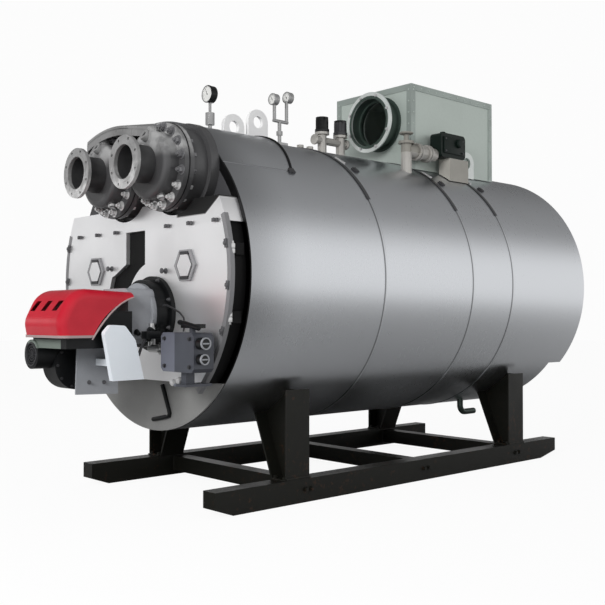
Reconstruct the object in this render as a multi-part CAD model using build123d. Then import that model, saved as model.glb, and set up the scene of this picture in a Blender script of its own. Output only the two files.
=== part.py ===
from build123d import *
import math
import os

# Industrial hot-water boiler: a horizontal drum on a two-rail skid, a forced-draught burner and
# bolted smokebox doors on the front, two heat-exchanger heads above them, a flue box on top.
# Millimetres. While it is built the drum axis is at x 0, the drum's front rim at y 0 and the
# floor at z 0; the front faces -Y. At the end all is moved so that the middle of the whole
# footprint is the origin.

# Driving dimensions: drum
DRUM_RADIUS = 1000
DRUM_LENGTH = 3500
DRUM_AXIS_Z = 1447
CASING_WALL = 60
REAR_BOX_DEPTH = 192
REAR_BOX_CUT_Z = 800
REAR_COVER_RADIUS = 420
STRAP_WIDTH = 30
STRAP_THICKNESS = 6
STRAP_HALF_ANGLE = 57
STRAP_Y = (1165, 2125, 2630)

# Driving dimensions: front
FRONT_PLATE_THICKNESS = 30
SMOKEBOX_RADIUS = 955
SMOKEBOX_DEPTH = 100
SMOKEBOX_TOP_Z = 1750
SMOKEBOX_BOTTOM_Z = 790
LUG_Z = (1586, 1190)
LUG_SIZE = (44, 60, 70)
DOOR_RADIUS = 975
DOOR_THICKNESS = 28
DOOR_SLOT_X = (-152, 77)
DOOR_SLOT_BEND_Z = 1540
DOOR_SLOT_RADII = (338, 575)
DOOR_GAP = 6
HEADER_TOP_Z = 1905
LOWER_PLATE_THICKNESS = 14
HANDLE_RADIUS = 11
HANDLE_PATH = ((125, 747), (214, 560), (20, 520))
HEX_ACROSS_FLATS = 190
HEX_FRAME_WIDTH = 22
HEX_X = 535
HEX_Z = 1505

# Driving dimensions: front casing hood
HOOD_THICKNESS = 30
HOOD_SIDE_THICKNESS = 5
HOOD_HALF_WIDTH = 733
HOOD_REAR_Y = 755
HOOD_REAR_RADIUS = 1430
TONGUE_THICKNESS = 20
TONGUE_FRONT_Y = -330
TONGUE_DROP = 75
TONGUE_X = (-400, 280)
TONGUE_CORNER = 90

# Driving dimensions: burner
BURNER_X = 190
BURNER_Z = 1212
BURNER_RING_RADIUS = 237
BURNER_NECK_RADIUS = 212
BURNER_BODY_RADIUS = 190
HOUSING_SIZE = (320, 305)
HOUSING_CORNER = 45
NECK_FRONT_Y = -235
HOUSING_FRONT_Y = -420
COVER_HALF_WIDTH = 240
COVER_WALL = 6
COVER_CORNER = 55
COVER_BOTTOM_Z = 1072
COVER_MIDDLE = (-660, 1190)
COVER_SIDE = ((-425, COVER_BOTTOM_Z), (-425, 1338), (-818, 1356), (-912, 1165), (-893, COVER_BOTTOM_Z))
COVER_BROW_RADIUS = 150
COVER_NOSE_RADIUS = 110
COVER_HOLLOW_CORNERS = (88, 50, 34)
COVER_SIDE_CUT = ((-430, 1305), (-600, 1213), (-705, 1060))
VENT_PITCH = 135
VENT_WIDTH = 58
VENT_SLANT = 36
VENT_Z = (1226, 1284)
LIP_HEIGHT = 16
LIP_DEPTH = 6
LIP_REAR_Y = -640
FAN_CENTRE = (-605, 900)
FAN_RADIUS = 150
FAN_X = (-80, 80)
INTAKE_CENTRE = (-15, 968)
INTAKE_RADIUS = 88
INTAKE_BORE = 62
BRACKET_SIDE = ((-680, 1070), (-690, 730), (-405, 722), (-405, 1070))
PANEL_SIDE = ((-600, 820), (-390, 822), (-448, 1054), (-520, 1140), (-612, 1145), (-655, 1100))

# Driving dimensions: gas train
GAS_Y = -255
GAS_Z = 1000
GAS_PIPE_RADIUS = 26
VALVE_X = (560, 890)
VALVE_Z = (872, 1100)

# Driving dimensions: heat-exchanger heads
HEAD_MIDDLE_X = 125
HEAD_HALF_PITCH = 285
HEAD_Z = 2110
NOZZLE_FACE_Y = -495
NOZZLE_BACK_Y = -340
NOZZLE_FLANGE_RADIUS = 160
NOZZLE_FLANGE_THICKNESS = 22
NOZZLE_BORE_RADIUS = 103.5
NOZZLE_NECK_RADIUS = 114
NOZZLE_BOLT_CIRCLE = 280
NOZZLE_BOLTS = 8
NOZZLE_BOLT_HOLE = 18
GIRTH_FLANGE_RADIUS = 270
GIRTH_FACES_Y = (-240, -205, -170)
CHANNEL_RADIUS = 207
CHANNEL_STEP_RADIUS = 178
BARREL_RADIUS = 255
COLLAR_RADIUS = 288
COLLAR_DEPTH = 60
BOSS_RADIUS = 34
BOSS_BORE = 17

# Driving dimensions: flue box
FLUE_X = (-400, 420)
FLUE_Y = (2100, 3155)
FLUE_TOP_Z = 3030
FLUE_SHEET = 8
ANGLE_LEG = 44
ANGLE_SHEET = 5
OUTLET_X = 95
OUTLET_Z = 2755
OUTLET_FACE_Y = 1955
OUTLET_RADIUS = 190
OUTLET_FLANGE_RADIUS = 242
OUTLET_BOLT_CIRCLE = 436
OUTLET_BOLTS = 8
FLUE_LUG_Y = 2790
FLUE_LUG = (92, 46, 2478)

# Driving dimensions: valves on the drum
SAFETY_VALVE_Y = (1530, 1730)
SAFETY_PIPE_Z = 2565
SAFETY_SEAT_Z = 2610
SAFETY_VALVE_TOP_Z = 2745
SOCKET_Y = (1300, 1400)
FEED_VALVE = (490, 1960)
FEED_PIPE_Z = 2478
DRAIN_START = (300, 2867)
ACTUATOR_LOW = (455, 2290, 2462)
ACTUATOR_HIGH = (565, 2600, 2655)

# Driving dimensions: gauges and lifting eyes
PRESSURE_GAUGE = (424, 2744, 59, 47)
FORK_Y = 1090
FORK_Z = 2650
TWIN_GAUGES = ((1020, 2806), (1160, 2840))
TWIN_GAUGE_RADIUS = 42
TWIN_GAUGE_DEPTH = 40
EYE_RADIUS = 92
EYE_HOLE_RADIUS = 44
EYE_THICKNESS = 28

# Driving dimensions: skid
RAIL_OUTER_X = 780
RAIL_WIDTH = 120
RAIL_HEIGHT = 152
RAIL_Y = (-90, 3565)
RAIL_BEVEL_LENGTH = (135, 220)
RAIL_END_HEIGHT = 104
CROSS_Y = (660, 1840, 3000)
CROSS_WIDTH = 110
LEG_Y = (568, 2985)
LEG_FLANGE_WIDTH = 200
LEG_FLANGE_TOP_Z = 728
LEG_PLATE = 14
LEG_FOOT_X = 632
LEG_INNER = (430, 640)

# Derived values
SMOKEBOX_FRONT_Y = -SMOKEBOX_DEPTH
DOOR_FRONT_Y = SMOKEBOX_FRONT_Y - DOOR_THICKNESS
DRUM_TOP_Z = DRUM_AXIS_Z + DRUM_RADIUS
HEAD_X = (HEAD_MIDDLE_X - HEAD_HALF_PITCH, HEAD_MIDDLE_X + HEAD_HALF_PITCH)

nodes = {}


def upright(y):
    """Drawing plane across the drum at y: sketch x is X, sketch y is Z, normal is -Y."""
    return Plane(origin=(0, y, 0), x_dir=(1, 0, 0), z_dir=(0, -1, 0))


def prism_y(outline, front, back):
    """Outline drawn in X and Z, made solid from y front to y back."""
    return extrude(upright(back) * outline, back - front)


def prism_x(outline, low, high):
    """Outline drawn in Y and Z, made solid from x low to x high."""
    return Pos(low, 0, 0) * extrude(Plane.YZ * outline, high - low)


def disc_y(x, z, radius, front, back):
    return prism_y(Pos(x, z) * Circle(radius), front, back)


def disc_x(y, z, radius, low, high):
    return prism_x(Pos(y, z) * Circle(radius), low, high)


def disc_z(x, y, radius, low, high):
    return Pos(x, y, low) * extrude(Circle(radius), high - low)


def flat_bar(place, radius, length, sides):
    """A small pipe or stem along its place's Z, drawn with flat sides to keep it light."""
    return place * extrude(RegularPolygon(radius, sides), length)


def bar_x(y, z, radius, low, high, sides=12):
    return flat_bar(Plane(origin=(low, y, z), z_dir=(1, 0, 0)), radius, high - low, sides)


def bar_y(x, z, radius, front, back, sides=12):
    return flat_bar(Plane(origin=(x, front, z), z_dir=(0, 1, 0)), radius, back - front, sides)


def bar_z(x, y, radius, low, high, sides=12):
    return flat_bar(Pos(x, y, low), radius, high - low, sides)


def polygon(*points):
    return make_face(Polyline(*points, close=True))


def turned_y(points, x=0, z=0):
    """Closed outline of (radius, y) points turned about an axis along Y through x and z."""
    return Pos(x, 0, z) * revolve(polygon(*points), Axis.Y)


def box_between(low, high):
    size = [b - a for a, b in zip(low, high)]
    return Pos(*[(a + b) / 2 for a, b in zip(low, high)]) * Box(*size)


def band_outline(radius, low_z, high_z):
    """The part of a disc on the drum axis between two heights, in X and Z."""
    band = Pos(0, (low_z + high_z) / 2) * Rectangle(4 * radius, high_z - low_z)
    return (Pos(0, DRUM_AXIS_Z) * Circle(radius)) & band


def drum_body(extra=0):
    """The drum's outside, used to cut what sits on it."""
    return disc_y(0, DRUM_AXIS_Z, DRUM_RADIUS + extra, -100, DRUM_LENGTH + 100)


def drum_height(x):
    """Height of the drum's surface at x."""
    return DRUM_AXIS_Z + math.sqrt(DRUM_RADIUS**2 - x**2)


def drum():
    inner = DRUM_RADIUS - CASING_WALL
    ring = Circle(DRUM_RADIUS) - Circle(inner)
    nodes["drum_casing"] = prism_y(Pos(0, DRUM_AXIS_Z) * ring, 0, DRUM_LENGTH)
    nodes["front_plate"] = disc_y(0, DRUM_AXIS_Z, inner, 0, FRONT_PLATE_THICKNESS)
    nodes["rear_plate"] = disc_y(0, DRUM_AXIS_Z, inner, DRUM_LENGTH - FRONT_PLATE_THICKNESS, DRUM_LENGTH)
    reach = DRUM_RADIUS * math.tan(math.radians(STRAP_HALF_ANGLE))
    wedge = polygon((0, 0), (2 * reach, 2 * DRUM_RADIUS), (-2 * reach, 2 * DRUM_RADIUS))
    strap = (Circle(DRUM_RADIUS + STRAP_THICKNESS) - Circle(DRUM_RADIUS)) & wedge
    half = STRAP_WIDTH / 2
    strap = Pos(0, DRUM_AXIS_Z) * strap
    nodes["casing_straps"] = Compound([prism_y(strap, y - half, y + half) for y in STRAP_Y])


def rear_box():
    """Smoke box on the rear end, its lower part cut level, with a round bolted cover."""
    back = DRUM_LENGTH + REAR_BOX_DEPTH
    body = prism_y(band_outline(DRUM_RADIUS, REAR_BOX_CUT_Z, DRUM_TOP_Z), DRUM_LENGTH, back - 14)
    cover = disc_y(0, DRUM_AXIS_Z, REAR_COVER_RADIUS, back - 14, back)
    nodes["rear_smoke_box"] = body + cover


def front_hood():
    """Casing panel over the drum's front end, thickest at the top, with a tongue down over the heads."""
    top = DRUM_RADIUS + HOOD_THICKNESS
    side = math.sqrt(DRUM_RADIUS**2 - HOOD_HALF_WIDTH**2) + HOOD_SIDE_THICKNESS
    rise = (top**2 - HOOD_HALF_WIDTH**2 - side**2) / (2 * (top - side))
    strip = Pos(0, DRUM_TOP_Z) * Rectangle(2 * HOOD_HALF_WIDTH, 2 * DRUM_RADIUS)
    crescent = (Pos(0, DRUM_AXIS_Z + rise) * Circle(top - rise)) & strip
    crescent -= Pos(0, DRUM_AXIS_Z) * Circle(DRUM_RADIUS)
    rear_edge = disc_z(0, HOOD_REAR_Y - HOOD_REAR_RADIUS, HOOD_REAR_RADIUS, DRUM_AXIS_Z, 3 * DRUM_RADIUS)
    hood = prism_y(crescent, 0, HOOD_REAR_Y) & rear_edge
    root, tip = top - 10, top - TONGUE_DROP
    tongue = turned_y([(DRUM_RADIUS + 4, 12), (root - 2, 12), (root, 0), (tip, TONGUE_FRONT_Y),
                       (tip - TONGUE_THICKNESS, TONGUE_FRONT_Y), (root - TONGUE_THICKNESS, 0)], z=DRUM_AXIS_Z)
    low, high = TONGUE_X
    front, corner, bend = TONGUE_FRONT_Y, TONGUE_CORNER, TONGUE_CORNER / 3
    plan = polygon((low, 30), (low, front + corner), (low + bend, front + bend), (low + corner, front),
                   (high - corner, front), (high - bend, front + bend), (high, front + corner), (high, 30))
    nodes["front_hood"] = hood + (tongue & extrude(Pos(0, 0, DRUM_AXIS_Z) * plan, 2 * DRUM_RADIUS))


def smokebox():
    body = prism_y(band_outline(SMOKEBOX_RADIUS, SMOKEBOX_BOTTOM_Z, SMOKEBOX_TOP_Z), SMOKEBOX_FRONT_Y, 0)
    width, depth, height = LUG_SIZE
    for side in (-1, 1):
        for z in LUG_Z:
            edge = math.sqrt(SMOKEBOX_RADIUS**2 - (z - DRUM_AXIS_Z)**2)
            middle = Pos(side * edge, (SMOKEBOX_FRONT_Y - 10) / 2, z)
            body += middle * Box(width, depth, height)
    nodes["smokebox_body"] = body
    header = band_outline(DOOR_RADIUS, SMOKEBOX_TOP_Z, HEADER_TOP_Z)
    openings = [disc_y(x, HEAD_Z, COLLAR_RADIUS + 2, DOOR_FRONT_Y, 0) for x in HEAD_X]
    nodes["header_cover"] = prism_y(header, DOOR_FRONT_Y, 0) - openings
    lower = band_outline(DRUM_RADIUS, DRUM_AXIS_Z - DRUM_RADIUS, SMOKEBOX_BOTTOM_Z)
    plate = prism_y(lower, -LOWER_PLATE_THICKNESS, 0)
    bar_y = -LOWER_PLATE_THICKNESS - HANDLE_RADIUS + 2
    path = FilletPolyline(*[(x, bar_y, z) for x, z in HANDLE_PATH], radius=38)
    bar = sweep(Plane(path @ 0, z_dir=path % 0) * RegularPolygon(HANDLE_RADIUS, 8), path)
    nodes["lower_plate"] = plate + bar


def doors():
    """Two doors whose inner edges leave a slot that comes down and turns aside round the burner."""
    top, bottom, bend = SMOKEBOX_TOP_Z, SMOKEBOX_BOTTOM_Z, DOOR_SLOT_BEND_Z
    left, right = DOOR_SLOT_X
    inner, outer = DOOR_SLOT_RADII
    straight = polygon((left, top), (right, top), (right, bend), (left, bend))
    ring = Pos(BURNER_X, BURNER_Z) * (Circle(outer) - Circle(inner))
    wedge = polygon((left, bend), (right, bend), (BURNER_X, BURNER_Z), (left - outer, BURNER_Z - 250),
                    (left - outer, BURNER_Z + 150), (left - 145, bend - 70))
    gap_top = BURNER_Z - 75
    gap = Pos(left, (bottom + gap_top) / 2) * Rectangle(DOOR_GAP, gap_top - bottom)
    outline = band_outline(DOOR_RADIUS, bottom, top) - straight - (ring & wedge) - gap
    pair = sorted(outline.faces(), key=lambda face: face.center().X)
    nodes["left_door"] = prism_y(pair[0], DOOR_FRONT_Y, SMOKEBOX_FRONT_Y)
    nodes["right_door"] = prism_y(pair[-1], DOOR_FRONT_Y, SMOKEBOX_FRONT_Y)
    radius = HEX_ACROSS_FLATS / 2 / math.cos(math.radians(30))
    for name, x in (("left_hatch", -HEX_X), ("right_hatch", HEX_X)):
        outer_hex = Pos(x, HEX_Z) * RegularPolygon(radius, 6)
        pocket = Pos(x, HEX_Z) * RegularPolygon(radius - HEX_FRAME_WIDTH, 6)
        plate = prism_y(outer_hex, DOOR_FRONT_Y - 14, DOOR_FRONT_Y)
        nodes[name] = plate - prism_y(pocket, DOOR_FRONT_Y - 14, DOOR_FRONT_Y - 6)


def head(side, x):
    """One exchanger: barrel on the front plate, flanged channel with vent and drain bosses, nozzle."""
    front, joint, back = GIRTH_FACES_Y
    flange_back = NOZZLE_FACE_Y + NOZZLE_FLANGE_THICKNESS
    step_y = NOZZLE_BACK_Y + 26
    nozzle = turned_y([(NOZZLE_BORE_RADIUS, NOZZLE_FACE_Y), (NOZZLE_FLANGE_RADIUS, NOZZLE_FACE_Y),
                       (NOZZLE_FLANGE_RADIUS, flange_back), (NOZZLE_NECK_RADIUS, flange_back),
                       (NOZZLE_NECK_RADIUS, NOZZLE_BACK_Y),
                       (NOZZLE_BORE_RADIUS, NOZZLE_BACK_Y)], x, HEAD_Z)
    hole = disc_y(x + NOZZLE_BOLT_CIRCLE / 2, HEAD_Z, NOZZLE_BOLT_HOLE / 2, NOZZLE_FACE_Y, flange_back)
    centre = Axis((x, 0, HEAD_Z), (0, 1, 0))
    turn = 360 / NOZZLE_BOLTS
    nodes[side + "_nozzle"] = nozzle - [hole.rotate(centre, turn * (i + 0.5)) for i in range(NOZZLE_BOLTS)]
    channel = turned_y([(0, NOZZLE_BACK_Y), (CHANNEL_STEP_RADIUS, NOZZLE_BACK_Y), (CHANNEL_STEP_RADIUS, step_y),
                        (CHANNEL_RADIUS, step_y), (CHANNEL_RADIUS, front), (GIRTH_FLANGE_RADIUS, front),
                        (GIRTH_FLANGE_RADIUS, joint), (0, joint)], x, HEAD_Z)
    boss = bar_z(x, front - 48, BOSS_RADIUS, HEAD_Z, HEAD_Z + CHANNEL_RADIUS + 28, 16)
    boss -= disc_z(x, front - 48, BOSS_BORE, HEAD_Z + CHANNEL_RADIUS - 20, HEAD_Z + CHANNEL_RADIUS + 28)
    nodes[side + "_channel"] = channel + boss
    nodes[side + "_exchanger"] = turned_y([(0, joint), (GIRTH_FLANGE_RADIUS, joint), (GIRTH_FLANGE_RADIUS, back),
                                           (BARREL_RADIUS, back), (BARREL_RADIUS, -COLLAR_DEPTH),
                                           (COLLAR_RADIUS, -COLLAR_DEPTH), (COLLAR_RADIUS, 0), (0, 0)],
                                          x, HEAD_Z) & half_space(side)


def half_space(side):
    """Everything on one side of the line midway between the two heads."""
    reach = 2 * DRUM_RADIUS
    if side == "left":
        return box_between((-reach, -reach, 0), (HEAD_MIDDLE_X - 1, reach, 3 * reach))
    return box_between((HEAD_MIDDLE_X + 1, -reach, 0), (reach, reach, 3 * reach))


def heads():
    for side, x in zip(("left", "right"), HEAD_X):
        head(side, x)


def cover_shape(wall):
    """Closed form of the burner's cover; with a wall, its hollow: a smaller form with flat corners."""
    part = 1 - wall / COVER_HALF_WIDTH
    side = polygon(*[tuple(middle + (value - middle) * part for value, middle in zip(point, COVER_MIDDLE))
                     for point in COVER_SIDE])
    soften = chamfer if wall else fillet
    brow, nose, rim = (COVER_HOLLOW_CORNERS if wall else (COVER_BROW_RADIUS, COVER_NOSE_RADIUS, COVER_CORNER))
    side = soften(side.vertices().sort_by(Axis.X)[2], brow)
    side = soften(side.vertices().sort_by(Axis.X)[0], nose)
    half = COVER_HALF_WIDTH - wall
    body = prism_x(side, BURNER_X - half, BURNER_X + half)
    rims = [edge for edge in body.edges() if COVER_BOTTOM_Z + 20 < edge.center().Z and edge.center().Y < -435
            and abs(edge.center().X - BURNER_X) > half - 1]
    return soften(rims, rim)


def burner_cover():
    """Thin pressed cover, open below, swept up at the rear of each side, with three slanted vents."""
    low_x, high_x = BURNER_X - COVER_HALF_WIDTH, BURNER_X + COVER_HALF_WIDTH
    front_y, rear_y = COVER_SIDE[-1][0], COVER_SIDE[0][0]
    below = box_between((low_x + COVER_WALL + 2, front_y + 2 * COVER_WALL, COVER_BOTTOM_Z - 40),
                        (high_x - COVER_WALL - 2, rear_y - COVER_WALL, COVER_BOTTOM_Z + 2 * COVER_WALL))
    rise = ThreePointArc(*COVER_SIDE_CUT)
    behind = rear_y + 100
    corner = Polyline(rise @ 1, (behind, COVER_SIDE_CUT[-1][1]), (behind, COVER_SIDE_CUT[0][1]), rise @ 0)
    swept = prism_x(make_face(rise + corner), low_x - 50, high_x + 50)
    cover = cover_shape(0) - cover_shape(COVER_WALL) - below - swept
    low, high = VENT_Z
    for i in (-1, 0, 1):
        start = BURNER_X + VENT_PITCH * i - (VENT_WIDTH + VENT_SLANT) / 2
        slot = polygon((start, low), (start + VENT_WIDTH, low), (start + VENT_WIDTH + VENT_SLANT, high),
                       (start + VENT_SLANT, high))
        cover -= prism_y(slot, front_y - 50, front_y + 115)
    half_depth = (LIP_REAR_Y - front_y) / 2
    middle = Pos(BURNER_X, front_y + half_depth)
    outer, inner = [middle * RectangleRounded(2 * (COVER_HALF_WIDTH + out), 2 * (half_depth + out), COVER_CORNER)
                    for out in (LIP_DEPTH, -2)]
    lip = Pos(0, 0, COVER_BOTTOM_Z - 2) * extrude(outer - inner, LIP_HEIGHT)
    reach = box_between((low_x - 20, front_y - 20, 0),
                        (high_x + 20, COVER_SIDE_CUT[-1][0] - 8, COVER_BOTTOM_Z + 50))
    nodes["burner_hood"] = cover + (lip & reach)


def burner():
    ring_front = DOOR_FRONT_Y - 30
    ring = disc_y(BURNER_X, BURNER_Z, BURNER_RING_RADIUS, ring_front, DOOR_FRONT_Y)
    neck = disc_y(BURNER_X, BURNER_Z, BURNER_NECK_RADIUS, NECK_FRONT_Y, ring_front)
    nodes["burner_ring"] = ring + neck
    outline = Pos(BURNER_X, BURNER_Z) * RectangleRounded(*HOUSING_SIZE, HOUSING_CORNER)
    housing = prism_y(outline, HOUSING_FRONT_Y, NECK_FRONT_Y)
    housing += disc_y(BURNER_X, BURNER_Z, BURNER_BODY_RADIUS, NECK_FRONT_Y - 27, NECK_FRONT_Y)
    bracket = prism_x(polygon(*BRACKET_SIDE), 200, 212)
    nodes["burner_housing"] = housing + bracket
    burner_cover()
    y, z = FAN_CENTRE
    low, high = FAN_X
    scroll = disc_x(y, z, FAN_RADIUS, low, high)
    inner_body = box_between((BURNER_X - 205, -850, 1008), (BURNER_X + 205, HOUSING_FRONT_Y, 1225))
    x, intake_z = INTAKE_CENTRE
    intake = disc_y(x, intake_z, INTAKE_RADIUS, -862, y) - disc_y(x, intake_z, INTAKE_BORE, -862, -800)
    nodes["fan_casing"] = scroll + inner_body + intake - nodes["burner_housing"]
    nodes["fan_motor"] = disc_x(y, z, 82, low - 130, low) - nodes["fan_casing"]


def gas_train():
    panel = prism_x(polygon(*PANEL_SIDE), BURNER_X + COVER_HALF_WIDTH + 12, BURNER_X + COVER_HALF_WIDTH + 50)
    stay = box_between((214, -560, 900), (BURNER_X + COVER_HALF_WIDTH + 12, -500, 940))
    panel_edges = panel.edges().filter_by(Axis.X).sort_by(Axis.Z)
    nodes["side_panel"] = fillet(panel_edges[2:], 26) + stay
    low_x, high_x = VALVE_X
    low_z, high_z = VALVE_Z
    block = box_between((low_x, GAS_Y - 70, low_z), (high_x, GAS_Y + 70, high_z))
    block = chamfer(block.edges().filter_by(Axis.Y), 22)
    knobs = disc_x(GAS_Y - 30, 1040, 34, high_x, high_x + 60) + disc_x(GAS_Y - 30, 950, 30, high_x, high_x + 50)
    stem = disc_z(high_x - 110, GAS_Y, 18, high_z, high_z + 26)
    lever = box_between((high_x - 200, GAS_Y - 20, high_z + 26), (high_x - 10, GAS_Y + 20, high_z + 50))
    foot = box_between((low_x + 150, GAS_Y - 30, low_z - 70), (low_x + 200, GAS_Y + 30, low_z))
    bracket = box_between((low_x + 120, DOOR_FRONT_Y - 187, low_z - 84), (low_x + 240, DOOR_FRONT_Y, low_z - 70))
    nodes["gas_valve"] = block + knobs + stem + lever + foot + bracket
    pipe = bar_x(GAS_Y, GAS_Z, GAS_PIPE_RADIUS, BURNER_X + 150, low_x)
    union = bar_x(GAS_Y, GAS_Z, GAS_PIPE_RADIUS + 16, low_x - 90, low_x - 60, 6)
    flange = bar_x(GAS_Y, GAS_Z, GAS_PIPE_RADIUS + 22, low_x - 16, low_x, 16)
    riser = bar_z(BURNER_X + 165, GAS_Y, GAS_PIPE_RADIUS - 4, GAS_Z, BURNER_Z - 60)
    nodes["gas_pipe"] = pipe + union + flange + riser - nodes["burner_housing"] - nodes["burner_ring"]


def flue():
    low_x, high_x = FLUE_X
    front, rear = FLUE_Y
    outside = box_between((low_x, front, DRUM_AXIS_Z), (high_x, rear, FLUE_TOP_Z))
    inside = box_between((low_x + FLUE_SHEET, front + FLUE_SHEET, 0),
                         (high_x - FLUE_SHEET, rear - FLUE_SHEET, FLUE_TOP_Z - FLUE_SHEET))
    mouth = disc_y(OUTLET_X, OUTLET_Z, OUTLET_RADIUS, front, front + FLUE_SHEET)
    drum_cut = drum_body(STRAP_THICKNESS)
    nodes["flue_box"] = outside - inside - drum_cut - mouth
    angles = box_between((low_x - ANGLE_SHEET, front - ANGLE_SHEET, DRUM_AXIS_Z),
                         (high_x + ANGLE_SHEET, rear + ANGLE_SHEET, FLUE_TOP_Z + ANGLE_SHEET)) - outside
    low, high = low_x + ANGLE_LEG, high_x - ANGLE_LEG
    near, far, under = front + ANGLE_LEG, rear - ANGLE_LEG, FLUE_TOP_Z - ANGLE_LEG
    angles -= box_between((low, front - 50, 0), (high, rear + 50, under))
    angles -= box_between((low_x - 50, near, 0), (high_x + 50, far, under))
    angles -= box_between((low, near, FLUE_TOP_Z), (high, far, FLUE_TOP_Z + 50))
    radius, bore, centre_z = FLUE_LUG
    lug = Pos(FLUE_LUG_Y, centre_z) * Circle(radius)
    lug += Pos(FLUE_LUG_Y, centre_z - radius) * Rectangle(2 * radius, 2 * radius)
    lug -= Pos(FLUE_LUG_Y, centre_z) * Circle(bore)
    nodes["flue_frame"] = angles + prism_x(lug, high_x, high_x + ANGLE_SHEET + 15) - drum_cut
    flange_back = OUTLET_FACE_Y + 12
    outlet = turned_y([(OUTLET_RADIUS, OUTLET_FACE_Y), (OUTLET_FLANGE_RADIUS, OUTLET_FACE_Y),
                       (OUTLET_FLANGE_RADIUS, flange_back), (OUTLET_RADIUS + 6, flange_back),
                       (OUTLET_RADIUS + 6, front), (OUTLET_RADIUS, front)], OUTLET_X, OUTLET_Z)
    hole = disc_y(OUTLET_X + OUTLET_BOLT_CIRCLE / 2, OUTLET_Z, 7, OUTLET_FACE_Y, flange_back)
    centre = Axis((OUTLET_X, 0, OUTLET_Z), (0, 1, 0))
    turn = 360 / OUTLET_BOLTS
    nodes["flue_outlet"] = outlet - [hole.rotate(centre, turn * (i + 0.5)) for i in range(OUTLET_BOLTS)]


def drum_valves():
    """Safety valves on a shared pipe, plain sockets, the feed valve with its pipe, and the drain bend."""
    first, last = SAFETY_VALVE_Y
    valves = bar_y(0, SAFETY_PIPE_Z, 30, first - 80, last + 60)
    for y in SAFETY_VALVE_Y:
        valves += bar_z(0, y, 36, DRUM_TOP_Z - 10, SAFETY_SEAT_Z)
        valves += bar_z(0, y, 58, SAFETY_SEAT_Z, SAFETY_SEAT_Z + 20)
        valves += bar_z(0, y, 50, SAFETY_SEAT_Z + 20, SAFETY_VALVE_TOP_Z)
    sockets = [bar_z(0, y, 22, DRUM_TOP_Z, DRUM_TOP_Z + 34, 6) for y in SOCKET_Y]
    x, y = FEED_VALVE
    cap = FEED_PIPE_Z + 48
    feed = bar_z(x, y, 42, drum_height(x) - 60, cap) + bar_z(x, y, 62, cap, cap + 20)
    feed += bar_z(x, y, 20, cap + 20, cap + 74) + bar_y(x, FEED_PIPE_Z, 52, y, ACTUATOR_LOW[1], 16)
    x, y = DRAIN_START
    start_z = DRUM_AXIS_Z - math.sqrt(DRUM_RADIUS**2 - x**2)
    path = FilletPolyline((x, y, start_z + 40), (x, y, 385), (x, y + 190, 385), radius=60)
    drain = sweep(Plane(path @ 0, z_dir=path % 0) * RegularPolygon(25, 10), path) - drum_body()
    nodes["drum_valves"] = Compound([valves - drum_body(), *sockets, feed - drum_body(), drain])


def damper_drive():
    motor = box_between(ACTUATOR_LOW, ACTUATOR_HIGH)
    motor = fillet(motor.edges().filter_by(Axis.X), 34)
    low_x, _, base_top = ACTUATOR_LOW
    seat = box_between((low_x, 2400, drum_height(low_x + 110) - 40), (low_x + 110, 2640, base_top))
    shaft = disc_x(2430, 2570, 20, FLUE_X[1], low_x)
    nodes["damper_drive"] = motor + (seat - drum_body(STRAP_THICKNESS)) + shaft


def top_fittings():
    """Two gauges on stems, a pair of round cases on a fork, and the two lifting eyes."""
    hood_top = DRUM_TOP_Z + HOOD_THICKNESS
    y, z, radius, depth = PRESSURE_GAUGE
    stem = y + depth / 2
    nodes["pressure_gauge"] = (bar_z(0, stem, 14, hood_top, 2530) + bar_z(0, stem, 32, 2530, 2614)
                               + bar_z(0, stem, 10, 2614, 2700) + bar_y(0, z, radius, y, y + depth, 24))
    gauges = bar_z(0, FORK_Y, 14, DRUM_TOP_Z + 10, FORK_Z) + bar_z(0, FORK_Y, 24, 2545, 2575)
    gauges += bar_y(0, FORK_Z, 13, 1030, 1170)
    gauges += box_between((-40, FORK_Y - 40, DRUM_TOP_Z - 4), (40, FORK_Y + 50, DRUM_TOP_Z + 40)) - drum_body()
    for y, z in TWIN_GAUGES:
        arm = y + (20 if y < FORK_Y else 0)
        gauges += bar_z(0, arm, 13, FORK_Z, z - 28) + bar_y(0, z, TWIN_GAUGE_RADIUS, y, y + TWIN_GAUGE_DEPTH, 24)
    nodes["twin_gauge"] = gauges
    for name, y, base, top in (("front_lifting_eye", 652, hood_top, 2636),
                               ("rear_lifting_eye", 873, DRUM_TOP_Z, 2702)):
        radius, middle = EYE_RADIUS, top - EYE_RADIUS
        plate = Pos(y, middle) * Circle(radius) + polygon((y - radius, base), (y + radius, base),
                                                          (y + radius, middle), (y - radius, middle))
        plate -= Pos(y, middle) * Circle(EYE_HOLE_RADIUS)
        nodes[name] = prism_x(plate, -EYE_THICKNESS / 2, EYE_THICKNESS / 2)


def skid():
    front_bevel, rear_bevel = RAIL_BEVEL_LENGTH
    front, rear = RAIL_Y
    end = RAIL_HEIGHT - RAIL_END_HEIGHT
    side = polygon((front, end), (front + front_bevel, 0), (rear - rear_bevel, 0), (rear, end),
                   (rear, RAIL_HEIGHT), (front, RAIL_HEIGHT))
    inner_x = RAIL_OUTER_X - RAIL_WIDTH
    nodes["right_rail"] = prism_x(side, inner_x, RAIL_OUTER_X)
    nodes["left_rail"] = prism_x(side, -RAIL_OUTER_X, -inner_x)
    for name, y in zip(("front", "middle", "rear"), CROSS_Y):
        nodes[name + "_cross_beam"] = box_between((-inner_x, y - CROSS_WIDTH / 2, 30),
                                                  (inner_x, y + CROSS_WIDTH / 2, RAIL_HEIGHT - 12))


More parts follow.
